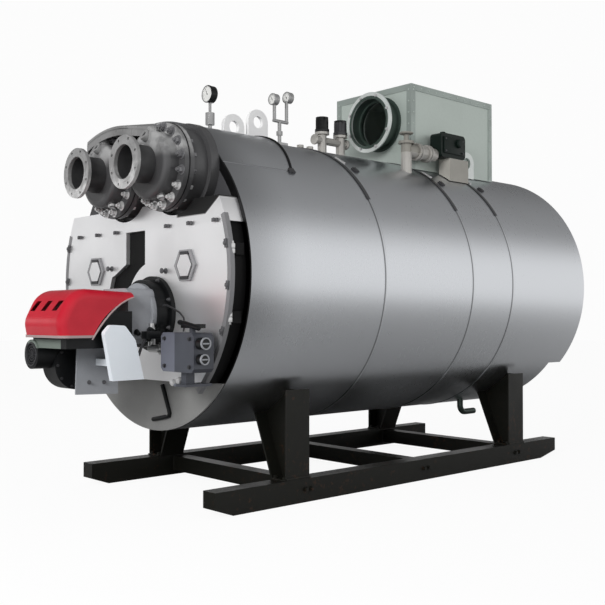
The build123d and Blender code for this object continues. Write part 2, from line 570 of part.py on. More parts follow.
def legs():
    """Saddle legs: a web under the drum with an upright outer flange and a sloping inner one."""
    foot, (inner_x, inner_z) = LEG_FOOT_X, LEG_INNER
    shoulder_x = math.sqrt(DRUM_RADIUS**2 - (DRUM_AXIS_Z - LEG_FLANGE_TOP_Z)**2)
    web = polygon((RAIL_OUTER_X, RAIL_HEIGHT), (RAIL_OUTER_X, LEG_FLANGE_TOP_Z), (shoulder_x, LEG_FLANGE_TOP_Z),
                  (inner_x, LEG_FLANGE_TOP_Z), (inner_x, inner_z), (foot, RAIL_HEIGHT))
    slant = polygon((foot, RAIL_HEIGHT), (foot + LEG_PLATE, RAIL_HEIGHT), (inner_x + LEG_PLATE, inner_z),
                    (inner_x, inner_z))
    half = LEG_FLANGE_WIDTH / 2
    for place, y in zip(("front", "rear"), LEG_Y):
        leg = prism_y(web, y - LEG_PLATE / 2, y + LEG_PLATE / 2) + prism_y(slant, y - half, y + half)
        leg += box_between((RAIL_OUTER_X - LEG_PLATE, y - half, RAIL_HEIGHT),
                           (RAIL_OUTER_X, y + half, LEG_FLANGE_TOP_Z))
        leg -= drum_body()
        nodes[place + "_right_leg"] = leg
        nodes[place + "_left_leg"] = mirror(leg, Plane.YZ)


for make in (drum, rear_box, front_hood, smokebox, doors, heads, burner, gas_train, flue, drum_valves,
             damper_drive, top_fittings, skid, legs):
    make()

os.makedirs("parts", exist_ok=True)
boxes = [shape.bounding_box() for shape in nodes.values()]
middle_x = (min(box.min.X for box in boxes) + max(box.max.X for box in boxes)) / 2
middle_y = (min(box.min.Y for box in boxes) + max(box.max.Y for box in boxes)) / 2
to_origin = Pos(-middle_x, -middle_y, 0)
for name, shape in nodes.items():
    export_step(to_origin * shape, f"parts/{name}.step")
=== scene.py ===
"""Industrial boiler: finishes, fixings and small fittings on the packed frame, with camera and light."""

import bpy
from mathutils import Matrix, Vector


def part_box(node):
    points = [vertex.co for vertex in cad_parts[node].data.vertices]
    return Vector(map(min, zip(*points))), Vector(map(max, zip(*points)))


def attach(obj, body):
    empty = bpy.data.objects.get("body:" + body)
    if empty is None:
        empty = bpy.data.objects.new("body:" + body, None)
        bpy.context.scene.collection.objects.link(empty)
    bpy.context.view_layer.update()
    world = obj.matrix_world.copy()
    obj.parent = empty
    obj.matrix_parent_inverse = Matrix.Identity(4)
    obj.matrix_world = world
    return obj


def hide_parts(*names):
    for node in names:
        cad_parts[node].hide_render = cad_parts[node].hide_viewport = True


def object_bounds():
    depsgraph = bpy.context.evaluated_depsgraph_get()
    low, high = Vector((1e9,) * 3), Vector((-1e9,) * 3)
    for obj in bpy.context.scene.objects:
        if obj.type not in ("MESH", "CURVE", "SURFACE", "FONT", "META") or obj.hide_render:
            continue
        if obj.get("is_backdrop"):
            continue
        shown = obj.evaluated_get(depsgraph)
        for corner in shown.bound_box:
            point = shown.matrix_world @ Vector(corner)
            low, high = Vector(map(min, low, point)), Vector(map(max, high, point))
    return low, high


bl_info = {
    "name": "Industrial boiler",
    "version": (1, 0, 0),
    "blender": (4, 5, 0),
    "location": "3D View > Sidebar > Boiler",
    "description": "Dresses a skid-mounted hot-water boiler and lights it on a pale floor",
    "category": "Object",
}

import inspect
import math

import bmesh
import bpy
from bpy.props import FloatProperty, FloatVectorProperty, IntProperty, PointerProperty
from mathutils import Matrix, Vector

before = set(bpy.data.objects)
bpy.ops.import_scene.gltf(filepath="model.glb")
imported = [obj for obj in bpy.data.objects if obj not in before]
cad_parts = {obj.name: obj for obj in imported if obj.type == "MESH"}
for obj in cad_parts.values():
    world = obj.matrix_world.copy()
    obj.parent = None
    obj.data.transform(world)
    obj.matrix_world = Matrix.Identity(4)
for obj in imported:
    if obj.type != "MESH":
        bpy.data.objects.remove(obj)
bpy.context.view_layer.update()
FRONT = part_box("front_plate")[0].y

# Places below are in millimetres from the drum's front rim, its middle line and the floor.
DRUM_AXIS_Z = 1447
DRUM_RADIUS = 1000
DRUM_END = 3500
SEAM_Y = (1165, 2125, 2630)
DOOR_Y = -128
HATCH_X = 535
HATCH_Z = 1505
HEAD_X = (-160, 410)
HEAD_Z = 2110
BURNER_X = 190
BURNER_Z = 1212
FAN_Y = -605
FAN_Z = 900
OUTLET_X = 95
OUTLET_Z = 2755
FEED_X = 490
LEG_Y = (568, 2985)
# The hood's half width; its rear edge is an arc in plan and its top an arc seen from the front,
# each given as the middle and the radius.
HOOD_HALF = 733
HOOD_REAR = (-675, 1430)
HOOD_TOP = (1525.5, 951.5)

FORWARD, REARWARD, RIGHT, LEFT, UP = (0, -1, 0), (0, 1, 0), (1, 0, 0), (-1, 0, 0), (0, 0, 1)
SHARP = math.radians(34)  # edges that turn by more are sharp, and a bevel softens them


# Places and directions

def mm(length):
    """A setting, which is in metres, as millimetres."""
    return length * 1000


def at(x, y, z):
    """A place in metres, given in millimetres from the front rim, the middle line and the floor."""
    return Vector((x / 1000, FRONT + y / 1000, z / 1000))


def facing(x, y, z, direction):
    """Turns local Z to a direction at a place in millimetres; local Y stays as upright as it can."""
    ahead = Vector(direction).normalized()
    upright = Vector(UP) if abs(ahead.z) < 0.9 else Vector(REARWARD)
    right = upright.cross(ahead).normalized()
    rotation = Matrix((right, ahead.cross(right), ahead)).transposed()
    return Matrix.Translation(at(x, y, z)) @ rotation.to_4x4()


def rolled(place, degrees):
    """A place turned about its own Z."""
    return place @ Matrix.Rotation(math.radians(degrees), 4, "Z")


def on_drum(angle, y):
    """A place on the drum, facing out of it; the angle is up from its right side."""
    across, up = math.cos(math.radians(angle)), math.sin(math.radians(angle))
    return facing(DRUM_RADIUS * across, y, DRUM_AXIS_Z + DRUM_RADIUS * up, (across, 0, up))


def on_circle(radius, count, start=0.0, sweep=360.0):
    """Points evenly spaced round a circle or an arc of it, as (across, up) in millimetres."""
    steps = count if sweep >= 360 else count - 1
    angles = [math.radians(start + sweep * i / steps) for i in range(count)]
    return [(radius * math.cos(angle), radius * math.sin(angle)) for angle in angles]


def bolt_circle(middle, direction, radius, count, start=0.0):
    """(place, direction) pairs round a middle, which face along X or along Y."""
    x, y, z = middle
    spots = on_circle(radius, count, start)
    if direction in (LEFT, RIGHT):
        return [((x, y + across, z + up), direction) for across, up in spots]
    return [((x + across, y, z + up), direction) for across, up in spots]


def arc_height(radius, x):
    """Height of a circle's edge over its middle, at x to the side of it."""
    return math.sqrt(radius ** 2 - x ** 2)


# Shapes

class Shape:
    """A closed mesh under construction; its parts are given in millimetres at a place."""

    def __init__(self):
        self.mesh = bmesh.new()

    def corners(self, points, place):
        """Vertices at (x, y, z) points of a place."""
        return [self.mesh.verts.new(place @ (Vector(point) / 1000)) for point in points]

    def skin(self, rings, capped=True):
        """Faces from ring to ring, and over the first and last where capped; one vertex is a pole."""
        for first, second in zip(rings, rings[1:]):
            count = max(len(first), len(second))
            for i in range(count):
                j = i + 1
                around = [first[i % len(first)], first[j % len(first)],
                          second[j % len(second)], second[i % len(second)]]
                unique = list(dict.fromkeys(around))
                if len(unique) > 2:
                    self.mesh.faces.new(unique)
        if capped:
            for end in (rings[0], rings[-1]):
                self.mesh.faces.new(end)
        return self

    def turned(self, profile, place, steps=28, loop=False):
        """Turns (radius, height) points about local Z; a loop is a closed outline off the axis."""
        rings = []
        for radius, height in profile:
            around = on_circle(radius, steps) if radius > 0 else [(0, 0)]
            rings.append(self.corners([(x, y, height) for x, y in around], place))
        if loop:
            rings.append(rings[0])
        return self.skin(rings, capped=False)

    def disc(self, radius, low, high, place, steps=28):
        return self.turned([(0, low), (radius, low), (radius, high), (0, high)], place, steps)

    def ring(self, inner, outer, low, high, place, steps=40):
        profile = [(inner, low), (outer, low), (outer, high), (inner, high)]
        return self.turned(profile, place, steps, loop=True)

    def prism(self, outline, low, high, place):
        """A flat outline of (x, y) points made solid from one height to another."""
        return self.skin([self.corners([(x, y, z) for x, y in outline], place) for z in (low, high)])

    def block(self, width, height, low, high, place, across=0):
        left, right, top = across - width / 2, across + width / 2, height / 2
        return self.prism([(left, -top), (right, -top), (right, top), (left, top)], low, high, place)

    def tube(self, path, radius, steps=12):
        """A round bar along places in millimetres, with flat ends."""
        points = [at(*point) for point in path]
        sideways = (points[1] - points[0]).orthogonal()
        rings = []
        for i, point in enumerate(points):
            ahead = (points[min(i + 1, len(points) - 1)] - points[max(i - 1, 0)]).normalized()
            sideways = (sideways - ahead * sideways.dot(ahead)).normalized()
            other = ahead.cross(sideways)
            rings.append([self.mesh.verts.new(point + (sideways * x + other * y) / 1000)
                          for x, y in on_circle(radius, steps)])
        return self.skin(rings)

    def finish(self, name, finish, bevel=0.0, slot=None):
        """Makes the object that carries the mesh, with its faces outward."""
        bmesh.ops.recalc_face_normals(self.mesh, faces=self.mesh.faces)
        data = bpy.data.meshes.new(name)
        self.mesh.to_mesh(data)
        self.mesh.free()
        return settle(new_object(name, data), finish, bevel, slot)


def new_object(name, data):
    """An object in the scene that carries the data."""
    item = bpy.data.objects.new(name, data)
    bpy.context.scene.collection.objects.link(item)
    return item


def make_plain(piece, modifier):
    """Puts a modifier's result in the object's own mesh and removes the modifier."""
    bpy.context.view_layer.update()
    evaluated = piece.evaluated_get(bpy.context.evaluated_depsgraph_get())
    result = bpy.data.meshes.new_from_object(evaluated)
    piece.modifiers.remove(modifier)
    piece.data = result


def settle(piece, finish, bevel=0.0, slot=None):
    """Gives a piece its softened edges, its shading, its finish, its body and its slot."""
    if bevel:
        edges = piece.modifiers.new("Edges", "BEVEL")
        edges.width = bevel / 1000
        edges.segments = 2
        edges.limit_method = "ANGLE"
        edges.angle_limit = SHARP
        edges.harden_normals = False
        make_plain(piece, edges)
    piece.data.shade_smooth()
    piece.data.set_sharp_from_angle(angle=SHARP)
    piece.data.materials.clear()
    piece.data.materials.append(finishes[finish])
    slot = slot or SLOT_OF[finish]
    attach(piece, "root")
    return piece


def add_node(tree, kind, settings, inputs):
    """Adds a node with its settings first and then the values or links of its sockets."""
    node = tree.nodes.new(kind)
    for key, value in settings.items():
        setattr(node, key, value)
    for key, value in inputs.items():
        if isinstance(value, bpy.types.NodeSocket):
            tree.links.new(value, node.inputs[key])
        else:
            node.inputs[key].default_value = value
    return node


# Fixings set out by geometry nodes

FIXING_INPUTS = {
    "Points": "Geometry", "Head width": "Float", "Head height": "Float", "Washer width": "Float",
    "Washer thickness": "Float", "Stud width": "Float", "Stud height": "Float", "Sides": "Int",
    "Seed": "Int", "Finish": "Material",
}


def fixing_tree():
    """Heads with washers and stud ends, one on each point, turned along the point's axis."""
    tree = bpy.data.node_groups.new("Fixings on points", "GeometryNodeTree")
    for name, kind in FIXING_INPUTS.items():
        tree.interface.new_socket(name, in_out="INPUT", socket_type="NodeSocket" + kind)
    tree.interface.new_socket("Geometry", in_out="OUTPUT", socket_type="NodeSocketGeometry")
    given = tree.nodes.new("NodeGroupInput").outputs

    def node(kind, settings, inputs, out=0):
        return add_node(tree, kind, settings, inputs).outputs[out]

    def cylinder(sides, width, bottom, height):
        radius = node("ShaderNodeMath", {"operation": "MULTIPLY"}, {0: width, 1: 0.5})
        body = node("GeometryNodeMeshCylinder", {"fill_type": "NGON"},
                    {"Vertices": sides, "Radius": radius, "Depth": height})
        half = node("ShaderNodeMath", {"operation": "MULTIPLY"}, {0: height, 1: 0.5})
        middle = node("ShaderNodeMath", {"operation": "ADD"}, {0: half, 1: bottom})
        lift = node("ShaderNodeCombineXYZ", {}, {"Z": middle})
        return node("GeometryNodeTransform", {}, {"Geometry": body, "Translation": lift})

    thickness = given["Washer thickness"]
    fixing = tree.nodes.new("GeometryNodeJoinGeometry")
    for part in (cylinder(20, given["Washer width"], 0.0, thickness),
                 cylinder(given["Sides"], given["Head width"], thickness, given["Head height"]),
                 cylinder(10, given["Stud width"], 0.0, given["Stud height"])):
        tree.links.new(part, fixing.inputs[0])
    axis = node("GeometryNodeInputNamedAttribute", {"data_type": "FLOAT_VECTOR"}, {"Name": "axis"})
    along = node("FunctionNodeAlignRotationToVector", {"axis": "Z"}, {"Vector": axis})
    spin = node("FunctionNodeRandomValue", {"data_type": "FLOAT"},
                {2: 0.0, 3: math.radians(60), "Seed": given["Seed"]}, out=1)
    turn = node("ShaderNodeCombineXYZ", {}, {"Z": spin})
    rotation = node("FunctionNodeRotateRotation", {"rotation_space": "LOCAL"},
                    {"Rotation": along, "Rotate By": turn})
    placed = node("GeometryNodeInstanceOnPoints", {},
                  {"Points": given["Points"], "Instance": fixing.outputs[0], "Rotation": rotation})
    real = node("GeometryNodeRealizeInstances", {}, {"Geometry": placed})
    done = node("GeometryNodeSetMaterial", {}, {"Geometry": real, "Material": given["Finish"]})
    add_node(tree, "NodeGroupOutput", {}, {0: done})
    return tree


def fixings(name, places, sizes, finish, seed):
    """One mesh of fixings at (place, direction) pairs; sizes in millimetres by the tree's inputs."""
    tree = bpy.data.node_groups.get("Fixings on points") or fixing_tree()
    data = bpy.data.meshes.new(name)
    data.from_pydata([at(*place) for place, direction in places], [], [])
    axis = data.attributes.new("axis", "FLOAT_VECTOR", "POINT")
    for item, (place, direction) in zip(axis.data, places):
        item.vector = direction
    piece = new_object(name, data)
    modifier = piece.modifiers.new("Fixings", "NODES")
    modifier.node_group = tree
    values = {key: value if key == "Sides" else value / 1000 for key, value in sizes.items()}
    values.update({"Seed": seed, "Finish": finishes[finish]})
    for item in tree.interface.items_tree:
        if item.in_out == "INPUT" and item.name in values:
            modifier[item.identifier] = values[item.name]
    make_plain(piece, modifier)
    return settle(piece, finish)


def hex_sizes(across, studs=True):
    """Usual proportions of a bolt head with its washer for a width across flats in millimetres."""
    return {"Head width": across * 1.155, "Head height": across * 0.6, "Washer width": across * 1.5,
            "Washer thickness": max(2.0, across * 0.1), "Stud width": across * 0.62,
            "Stud height": across * (1.1 if studs else 0.62), "Sides": 6}


def rivet_sizes(width):
    """A low round head."""
    return {"Head width": width * 0.62, "Head height": width * 0.18, "Washer width": width,
            "Washer thickness": width * 0.2, "Stud width": width * 0.3, "Stud height": width * 0.44,
            "Sides": 12}


# Finishes

class Term:
    """A number or colour in a material; arithmetic on it adds Math nodes."""

    def __init__(self, finish, socket):
        self.finish = finish
        self.socket = socket

    def math(self, operation, first, second):
        return self.finish.node("ShaderNodeMath", {"operation": operation}, {0: first, 1: second})

    def __add__(self, other):
        return self.math("ADD", self, other)

    def __sub__(self, other):
        return self.math("SUBTRACT", self, other)

    def __rsub__(self, other):
        return self.math("SUBTRACT", other, self)

    def __mul__(self, other):
        return self.math("MULTIPLY", self, other)

    __radd__ = __add__
    __rmul__ = __mul__


class Finish:
    """A procedural material, or the surround, on Object coordinates, which are metres in the frame."""

    def __init__(self, colour=(0, 0, 0), share=1.0, surround=False):
        self.shade = linear(colour, share)
        self.owner = (bpy.data.worlds if surround else bpy.data.materials).new("Finish")
        self.end = "ShaderNodeOutputWorld" if surround else "ShaderNodeOutputMaterial"
        self.owner.use_nodes = True
        self.tree = self.owner.node_tree
        self.tree.nodes.clear()
        self.place = self.node("ShaderNodeTexCoord", {}, {}, "Object")

    def node(self, kind, settings, inputs, out=0):
        """Adds a node, whose sockets take values or terms, and gives one of its outputs."""
        sockets = {key: value.socket if isinstance(value, Term) else value for key, value in inputs.items()}
        return Term(self, add_node(self.tree, kind, settings, sockets).outputs[out])

    def noise(self, scale, detail=3.0, stretch=(1, 1, 1), roughness=0.5):
        """Even noise from about 0 to 1; stretch multiplies the frame's axes first."""
        place = self.node("ShaderNodeMapping", {}, {"Vector": self.place, "Scale": stretch})
        return self.node("ShaderNodeTexNoise", {}, {"Vector": place, "Scale": scale, "Detail": detail,
                                                    "Roughness": roughness})

    def clouds(self, scale=2.2, detail=5.0):
        """Soft patches from 0 to 1."""
        return self.rise(self.noise(scale, detail), 0.35, 0.75)

    def along(self, axis):
        """Millimetres from the front rim, the middle line or the floor, along one axis of the frame."""
        value = self.node("ShaderNodeSeparateXYZ", {}, {"Vector": self.place}, "XYZ".index(axis))
        return (value - (FRONT if axis == "Y" else 0.0)) * 1000.0

    def rise(self, value, low, high):
        """0 below low and 1 above high, smooth between; low above high turns it round."""
        turned = low > high
        ends = {"From Min": min(low, high), "From Max": max(low, high),
                "To Min": 1.0 if turned else 0.0, "To Max": 0.0 if turned else 1.0}
        return self.node("ShaderNodeMapRange", {"interpolation_type": "SMOOTHSTEP"},
                         {"Value": value, **ends})

    def largest(self, first, second):
        return self.node("ShaderNodeMath", {"operation": "MAXIMUM"}, {0: first, 1: second})

    def mix(self, share, first, second):
        """Colour between two colours."""
        return self.node("ShaderNodeMix", {"data_type": "RGBA"}, {0: share, 6: first, 7: second}, 2)

    def paint(self, share, colour, strength=1.0):
        """Lays a display colour, or one that is ready for the renderer, over the material's colour."""
        ready = isinstance(colour, Term) or len(colour) == 4
        self.shade = self.mix(share, self.shade, colour if ready else linear(colour, strength))

    def close(self, roughness, metallic, bump, depth, coat=0.0, specular=0.5):
        """Ends the material in one shader; depth is the bump's height in millimetres."""
        normal = self.node("ShaderNodeBump", {}, {"Height": bump, "Distance": depth / 1000})
        inputs = {"Base Color": self.shade, "Roughness": roughness, "Metallic": metallic, "Normal": normal,
                  "Coat Weight": coat, "Specular IOR Level": specular, "Coat Roughness": 0.12}
        return self.surface("ShaderNodeBsdfPrincipled", inputs)

    def surface(self, kind, inputs):
        """Adds the last shader and joins it to the output."""
        shader = self.node(kind, {}, inputs)
        add_node(self.tree, self.end, {}, {"Surface": shader.socket})
        return self.owner

    def rays(self):
        """Two shares: 1 for what the camera sees, and 1 for what metal or glass mirrors."""
        seen, mirrored, through = [self.node("ShaderNodeLightPath", {}, {}, f"Is {kind} Ray")
                                   for kind in ("Camera", "Glossy", "Transmission")]
        return seen, self.largest(mirrored, through)


def linear(colour, share=1.0):
    """A display colour as the renderer's own numbers; share darkens or lightens it."""
    values = [c / 12.92 if c <= 0.04045 else ((c + 0.055) / 1.055) ** 2.4 for c in colour]
    return tuple(min(1.0, value * share) for value in values) + (1.0,)


def grey(level):
    """A grey in the renderer's own numbers."""
    return (level, level, level, 1.0)


def worn_paint(colour, roughness, grime, grain=0.15, metallic=0.0, chips=0.0, coat=0.0, specular=0.5):
    """Painted or cast metal with cloudy dirt, fine grain and, where asked for, brown chips."""
    finish = Finish(colour)
    clouds = finish.clouds()
    specks = finish.rise(finish.noise(60, 3.0), 0.52, 0.72)
    finish.paint(clouds * grime, colour, 0.55)
    finish.paint(specks * (grime * 0.5), colour, 1.25)
    if chips:
        spots = finish.noise(26, 6.0, roughness=0.7) * 0.7 + finish.noise(3.1, 2.0) * 0.3
        brown = (0.10, 0.042, 0.02, 1.0)
        finish.paint(finish.rise(spots, 0.585, 0.6) * chips, brown)
    gloss = roughness + (clouds - 0.5) * 0.12
    return finish.close(gloss, metallic, finish.noise(220, 2.0), grain, coat, specular)


def brushed(colour, roughness, stretch=(1, 1, 1), metallic=1.0):
    """Bare metal drawn along one axis of the frame, with faint handling marks."""
    finish = Finish(colour)
    lines = finish.noise(90, 3.0, stretch)
    clouds = finish.noise(1.6, 4.0)
    finish.paint(lines * 0.25, colour, 1.35)
    finish.paint(finish.rise(clouds, 0.4, 0.8) * 0.3, colour, 0.72)
    gloss = roughness + (lines - 0.5) * 0.12 + (clouds - 0.5) * 0.1
    return finish.close(gloss, metallic, lines, 0.08)


def cladding_finish(colour, hood=False):
    """Brushed sheet with fine lines round the drum, slow waves, dark seams and a dark front end."""
    finish = Finish(colour, 0.97)
    lines = finish.noise(150, 3.0, (0.12, 1, 0.12))
    waves = finish.noise(1.1, 2.0, (1, 0.6, 1))
    x, y, z = [finish.along(axis) for axis in "XYZ"]
    finish.paint(lines * 0.16, colour, 1.08)
    stain = finish.rise(finish.noise(3.0, 5.0, (1, 0.35, 1)), 0.5, 0.8)
    finish.paint(stain * 0.1, colour, 0.8)
    for seam in SEAM_Y:
        near = finish.rise(y, seam - 16, seam - 9) * finish.rise(y, seam + 3, seam - 1)
        finish.paint(near * 0.75, colour, 0.2)
    metal = 1.0
    if hood:
        # Painted shade: the hood darkens towards its front.
        finish.paint(finish.rise(y, 350, -130) * 0.7, colour, 0.1)
        # Painted shade: the hood's side edges are darkened so that they show no highlight.
        sides = finish.rise(x * x, (HOOD_HALF - 2) ** 2, (HOOD_HALF - 0.5) ** 2)
        finish.paint(sides, colour, 0.3)
        tip = finish.rise(y, 5, -30)
        finish.paint(tip, finish.mix(stain, grey(0.26), grey(0.15)))
        metal = 1.0 - tip * 0.85
    else:
        # Painted shade: the front rim is painted dark grey, and black below 1790 mm, so that it shows no
        # highlight.
        edge = finish.rise(y, 6.5, 4.5)
        # Painted shade: the drum darkens towards its front above about a metre.
        finish.paint(finish.rise(y, 430, -40) * finish.rise(z, 850, 1250) * 0.45, colour, 0.1)
        finish.paint(edge, (0.06, 0.06, 0.062, 1.0))
        finish.paint(edge * finish.rise(z, 1790, 1730), grey(0.012))
    gloss = 0.29 + (lines - 0.5) * 0.08 + (waves - 0.5) * 0.05
    return finish.close(gloss, metal, lines * 0.05 + waves, 1.2)


def head_finish(colour, dust):
    """Dark cast iron, rough and cloudy, with pale worn patches on the upper half before the joint."""
    finish = Finish(colour)
    # Painted light: the top half before the joint is paler in patches, as if lit from above.
    patches = finish.rise(finish.noise(11, 4.0), 0.36, 0.62) * 0.6 + 0.35
    high = finish.rise(finish.along("Z"), HEAD_Z + 20, HEAD_Z + 110)
    upper = high * finish.rise(finish.along("Y"), -165, -175)
    finish.paint(finish.clouds() * 0.5, colour, 0.55)
    finish.paint(upper * patches, dust)
    return finish.close(0.36 + upper * 0.1, 0.3, finish.noise(120, 3.0), 0.9)


def nozzle_finish(colour, face, worn):
    """Dark neck and bore with a grey flange that is worn bright towards the bottom."""
    finish = Finish(colour, 0.7)
    marks = finish.rise(finish.noise(14, 4.0), 0.35, 0.65)
    flange = finish.rise(finish.along("Y"), -470, -474)
    low = finish.rise(finish.along("Z") + marks * 70.0, HEAD_Z + 40, HEAD_Z - 100)
    front = finish.mix(low, linear(face), linear(worn))
    finish.paint(marks * 0.4, colour, 0.4)
    finish.paint(flange, finish.mix(marks * 0.35, front, linear(face, 0.5)))
    return finish.close(0.45 - low * 0.08, 0.35, finish.noise(90, 3.0), 0.3)


def header_finish(colour, soot):
    """Aluminium paint, black with soot and shade round the right-hand barrel."""
    finish = Finish(colour)
    # Painted shadow: black where the right-hand barrel shades the header cover.
    x = finish.along("X")
    slope = finish.largest((x - 729.0) * 0.68, 0.0)
    dark = finish.rise(finish.along("Z") - slope, 1797, 1809) * finish.rise(x, 420, 450)
    finish.paint(finish.clouds() * 0.1, colour, 0.55)
    finish.paint(dark, soot)
    return finish.close(0.36 + dark * 0.2, (1.0 - dark) * 0.9, finish.noise(220, 2.0), 0.06)


def galvanised(colour):
    """Zinc-coated sheet with crystals of slightly different tone."""
    finish = Finish(colour)
    cells = finish.node("ShaderNodeTexVoronoi", {}, {"Vector": finish.place, "Scale": 55}, "Color")
    crystals = finish.node("ShaderNodeSeparateColor", {}, {"Color": cells})
    clouds = finish.rise(finish.noise(2.0, 3.0), 0.4, 0.75)
    finish.paint(crystals * 0.14, colour, 1.3)
    finish.paint(clouds * 0.25, colour, 0.75)
    return finish.close(0.42 + (crystals - 0.5) * 0.14, 0.3, crystals, 0.05)


def zone(tone, x=(None, None), y=(None, None), z=(None, None)):
    """A colour and the box that it fills, as the lowest and highest millimetre along each axis."""
    return tone, (x, y, z)


def banded(colour, zones, roughness, metallic, coat=0.0, specular=0.5):
    """A finish whose colour changes inside zones."""
    finish = Finish(colour)
    clouds = finish.clouds(6.0, 4.0)
    finish.paint(clouds * 0.3, colour, 0.6)
    axes = [finish.along(axis) for axis in "XYZ"]
    for tone, box in zones:
        inside = 1.0
        for value, (low, high) in zip(axes, box):
            if low is not None:
                inside = finish.rise(value, low - 1, low + 1) * inside
            if high is not None:
                inside = finish.rise(value, high + 1, high - 1) * inside
        finish.paint(inside, finish.mix(clouds * 0.3, linear(tone), linear(tone, 0.6)))
    gloss = roughness + (clouds - 0.5) * 0.1
    return finish.close(gloss, metallic, finish.noise(160, 2.0), 0.15, coat, specular)


def make_finishes(tones):
    """All materials by name, from the panel's colours."""
    return {
        "cladding": cladding_finish(tones.cladding),
        "hood_panel": cladding_finish(tones.cladding, hood=True),
        # Black below 1770 mm and dark grey above: partly paint, partly painted shade beside the doors and
        # under the hood.
        "front_plate": banded(tones.soot, [zone(tones.plate, z=(1770, None))], 0.5, 0.2, specular=0.15),
        "plate": brushed(tones.plate, 0.42, (1, 1, 0.1), 0.7),
        "lower_plate": worn_paint(tones.lower_plate, 0.5, 0.35, 0.1, 0.15),
        "door": worn_paint(tones.door, 0.41, 0.06, 0.06, 0.82),
        "door_rim": worn_paint(tones.rim, 0.45, 0.4, 0.1, 0.1),
        "header": header_finish(tones.door, tones.soot),
        "hatch": worn_paint(tones.hatch, 0.45, 0.3, 0.3),
        "smokebox": worn_paint(tones.soot, 0.55, 0.3, 0.2, specular=0.15),
        "head": head_finish(tones.head, tones.dust),
        "nozzle": nozzle_finish(tones.head, tones.nozzle, tones.zinc),
        "girth": banded(tones.rim, [zone(tones.zinc, z=(None, HEAD_Z - 120))], 0.36, 0.5),
        "zinc": worn_paint(tones.zinc, 0.36, 0.5, 0.2, 0.5),
        "boss": worn_paint(tones.boss, 0.45, 0.3, 0.4, 0.2),
        "washer": worn_paint(tones.zinc, 0.42, 0.3, 0.2, 0.4),
        "cover": banded(tones.cover, [zone(tones.cover_lip, z=(None, 1085))], 0.36, 0.0, 0.12, 0.4),
        "trim": worn_paint(tones.cover_lip, 0.5, 0.3),
        "housing": worn_paint(tones.housing, 0.36, 0.3, 0.6, chips=0.05),
        "black": worn_paint(tones.black, 0.38, 0.4, 0.4, chips=0.05, specular=0.25),
        "fan": banded(tones.black, [zone(tones.fan_box, (-60, 330), (None, -690), (1006, 1060))],
                      0.42, 0.0, specular=0.25),
        "motor": worn_paint(tones.black, 0.42, 0.5, 0.6, chips=0.15, specular=0.25),
        "panel": worn_paint(tones.panel, 0.4, 0.12),
        "valve": banded(tones.valve, [zone(tones.black, z=(1126, None)),
                                      zone(tones.black, x=(892, None), z=(None, 1126)),
                                      zone(tones.valve_side, (None, 700), (-326, None), (None, 1101))],
                        0.42, 0.2),
        "pipe": brushed(tones.bright, 0.3, (0.1, 1, 1)),
        "bright": brushed(tones.bright, 0.3),
        "clamp": worn_paint(tones.clamp, 0.45, 0.4, 0.2, 0.2),
        "dark_fixing": worn_paint(tones.fixing, 0.42, 0.4, 0.2, 0.4, chips=0.1),
        "flue": galvanised(tones.flue),
        "flue_frame": banded(tones.flue_frame, [zone(tones.pale, (428, None), (2694, 2886), (None, 2574))],
                             0.42, 0.4),
        "outlet": banded(tones.flue_dark, [zone(tones.pale, y=(1953.9, 1969))], 0.36, 0.4),
        "drive": banded(tones.drive, [zone(tones.seat, z=(None, 2461))], 0.45, 0.0, specular=0.2),
        "fittings": banded(tones.fitting, [zone(tones.black, (-80, 80), (None, 1800), (2628, None)),
                                           zone(tones.brass, (380, None), (None, 2060), (2460, None)),
                                           zone(tones.flue_dark, y=(2800, None), z=(None, 900))],
                           0.4, 0.4),
        # Painted shade: the right half of the pressure gauge's case and bezel is black.
        "gauge": banded(tones.gauge, [zone(tones.black, (14, None), (None, 700), (2680, None))], 0.3, 0.5),
        "caps": banded(tones.black, [zone(tones.fixing, y=(1630, None))], 0.4, 0.2),
        "eye": worn_paint(tones.eye, 0.5, 0.15),
        "dial": worn_paint(tones.dial, 0.25, 0.08, coat=0.4),
        "ink": worn_paint(tones.ink, 0.4, 0.1),
        "skid": worn_paint(tones.skid, 0.42, 0.4, 0.7, chips=0.25, specular=0.25),
        "rear": cladding_finish(tones.cladding),
        "strap": brushed(tones.strap, 0.34, (1, 0.1, 1)),
        "rubber": worn_paint(tones.rubber, 0.6, 0.3, 0.2, specular=0.25),
    }


def by_member(table):
    """Each word in the table's values, with the key that it stands under."""
    return {word: key for key, words in table.items() for word in words.split()}


FINISH_OF = by_member({
    "cladding": "drum_casing", "hood_panel": "front_hood", "strap": "casing_straps",
    "front_plate": "front_plate", "plate": "rear_plate", "rear": "rear_smoke_box",
    "smokebox": "smokebox_body", "header": "header_cover", "lower_plate": "lower_plate",
    "door": "left_door right_door", "hatch": "left_hatch right_hatch", "nozzle": "left_nozzle right_nozzle",
    "head": "left_channel right_channel left_exchanger right_exchanger", "cover": "burner_hood",
    "black": "burner_ring", "housing": "burner_housing", "fan": "fan_casing", "motor": "fan_motor",
    "panel": "side_panel", "valve": "gas_valve", "pipe": "gas_pipe", "flue": "flue_box",
    "flue_frame": "flue_frame", "outlet": "flue_outlet", "fittings": "drum_valves",
    "drive": "damper_drive", "gauge": "pressure_gauge twin_gauge",
    "eye": "front_lifting_eye rear_lifting_eye",
    "skid": "left_rail right_rail front_cross_beam middle_cross_beam rear_cross_beam "
            "front_left_leg front_right_leg rear_left_leg rear_right_leg",
})
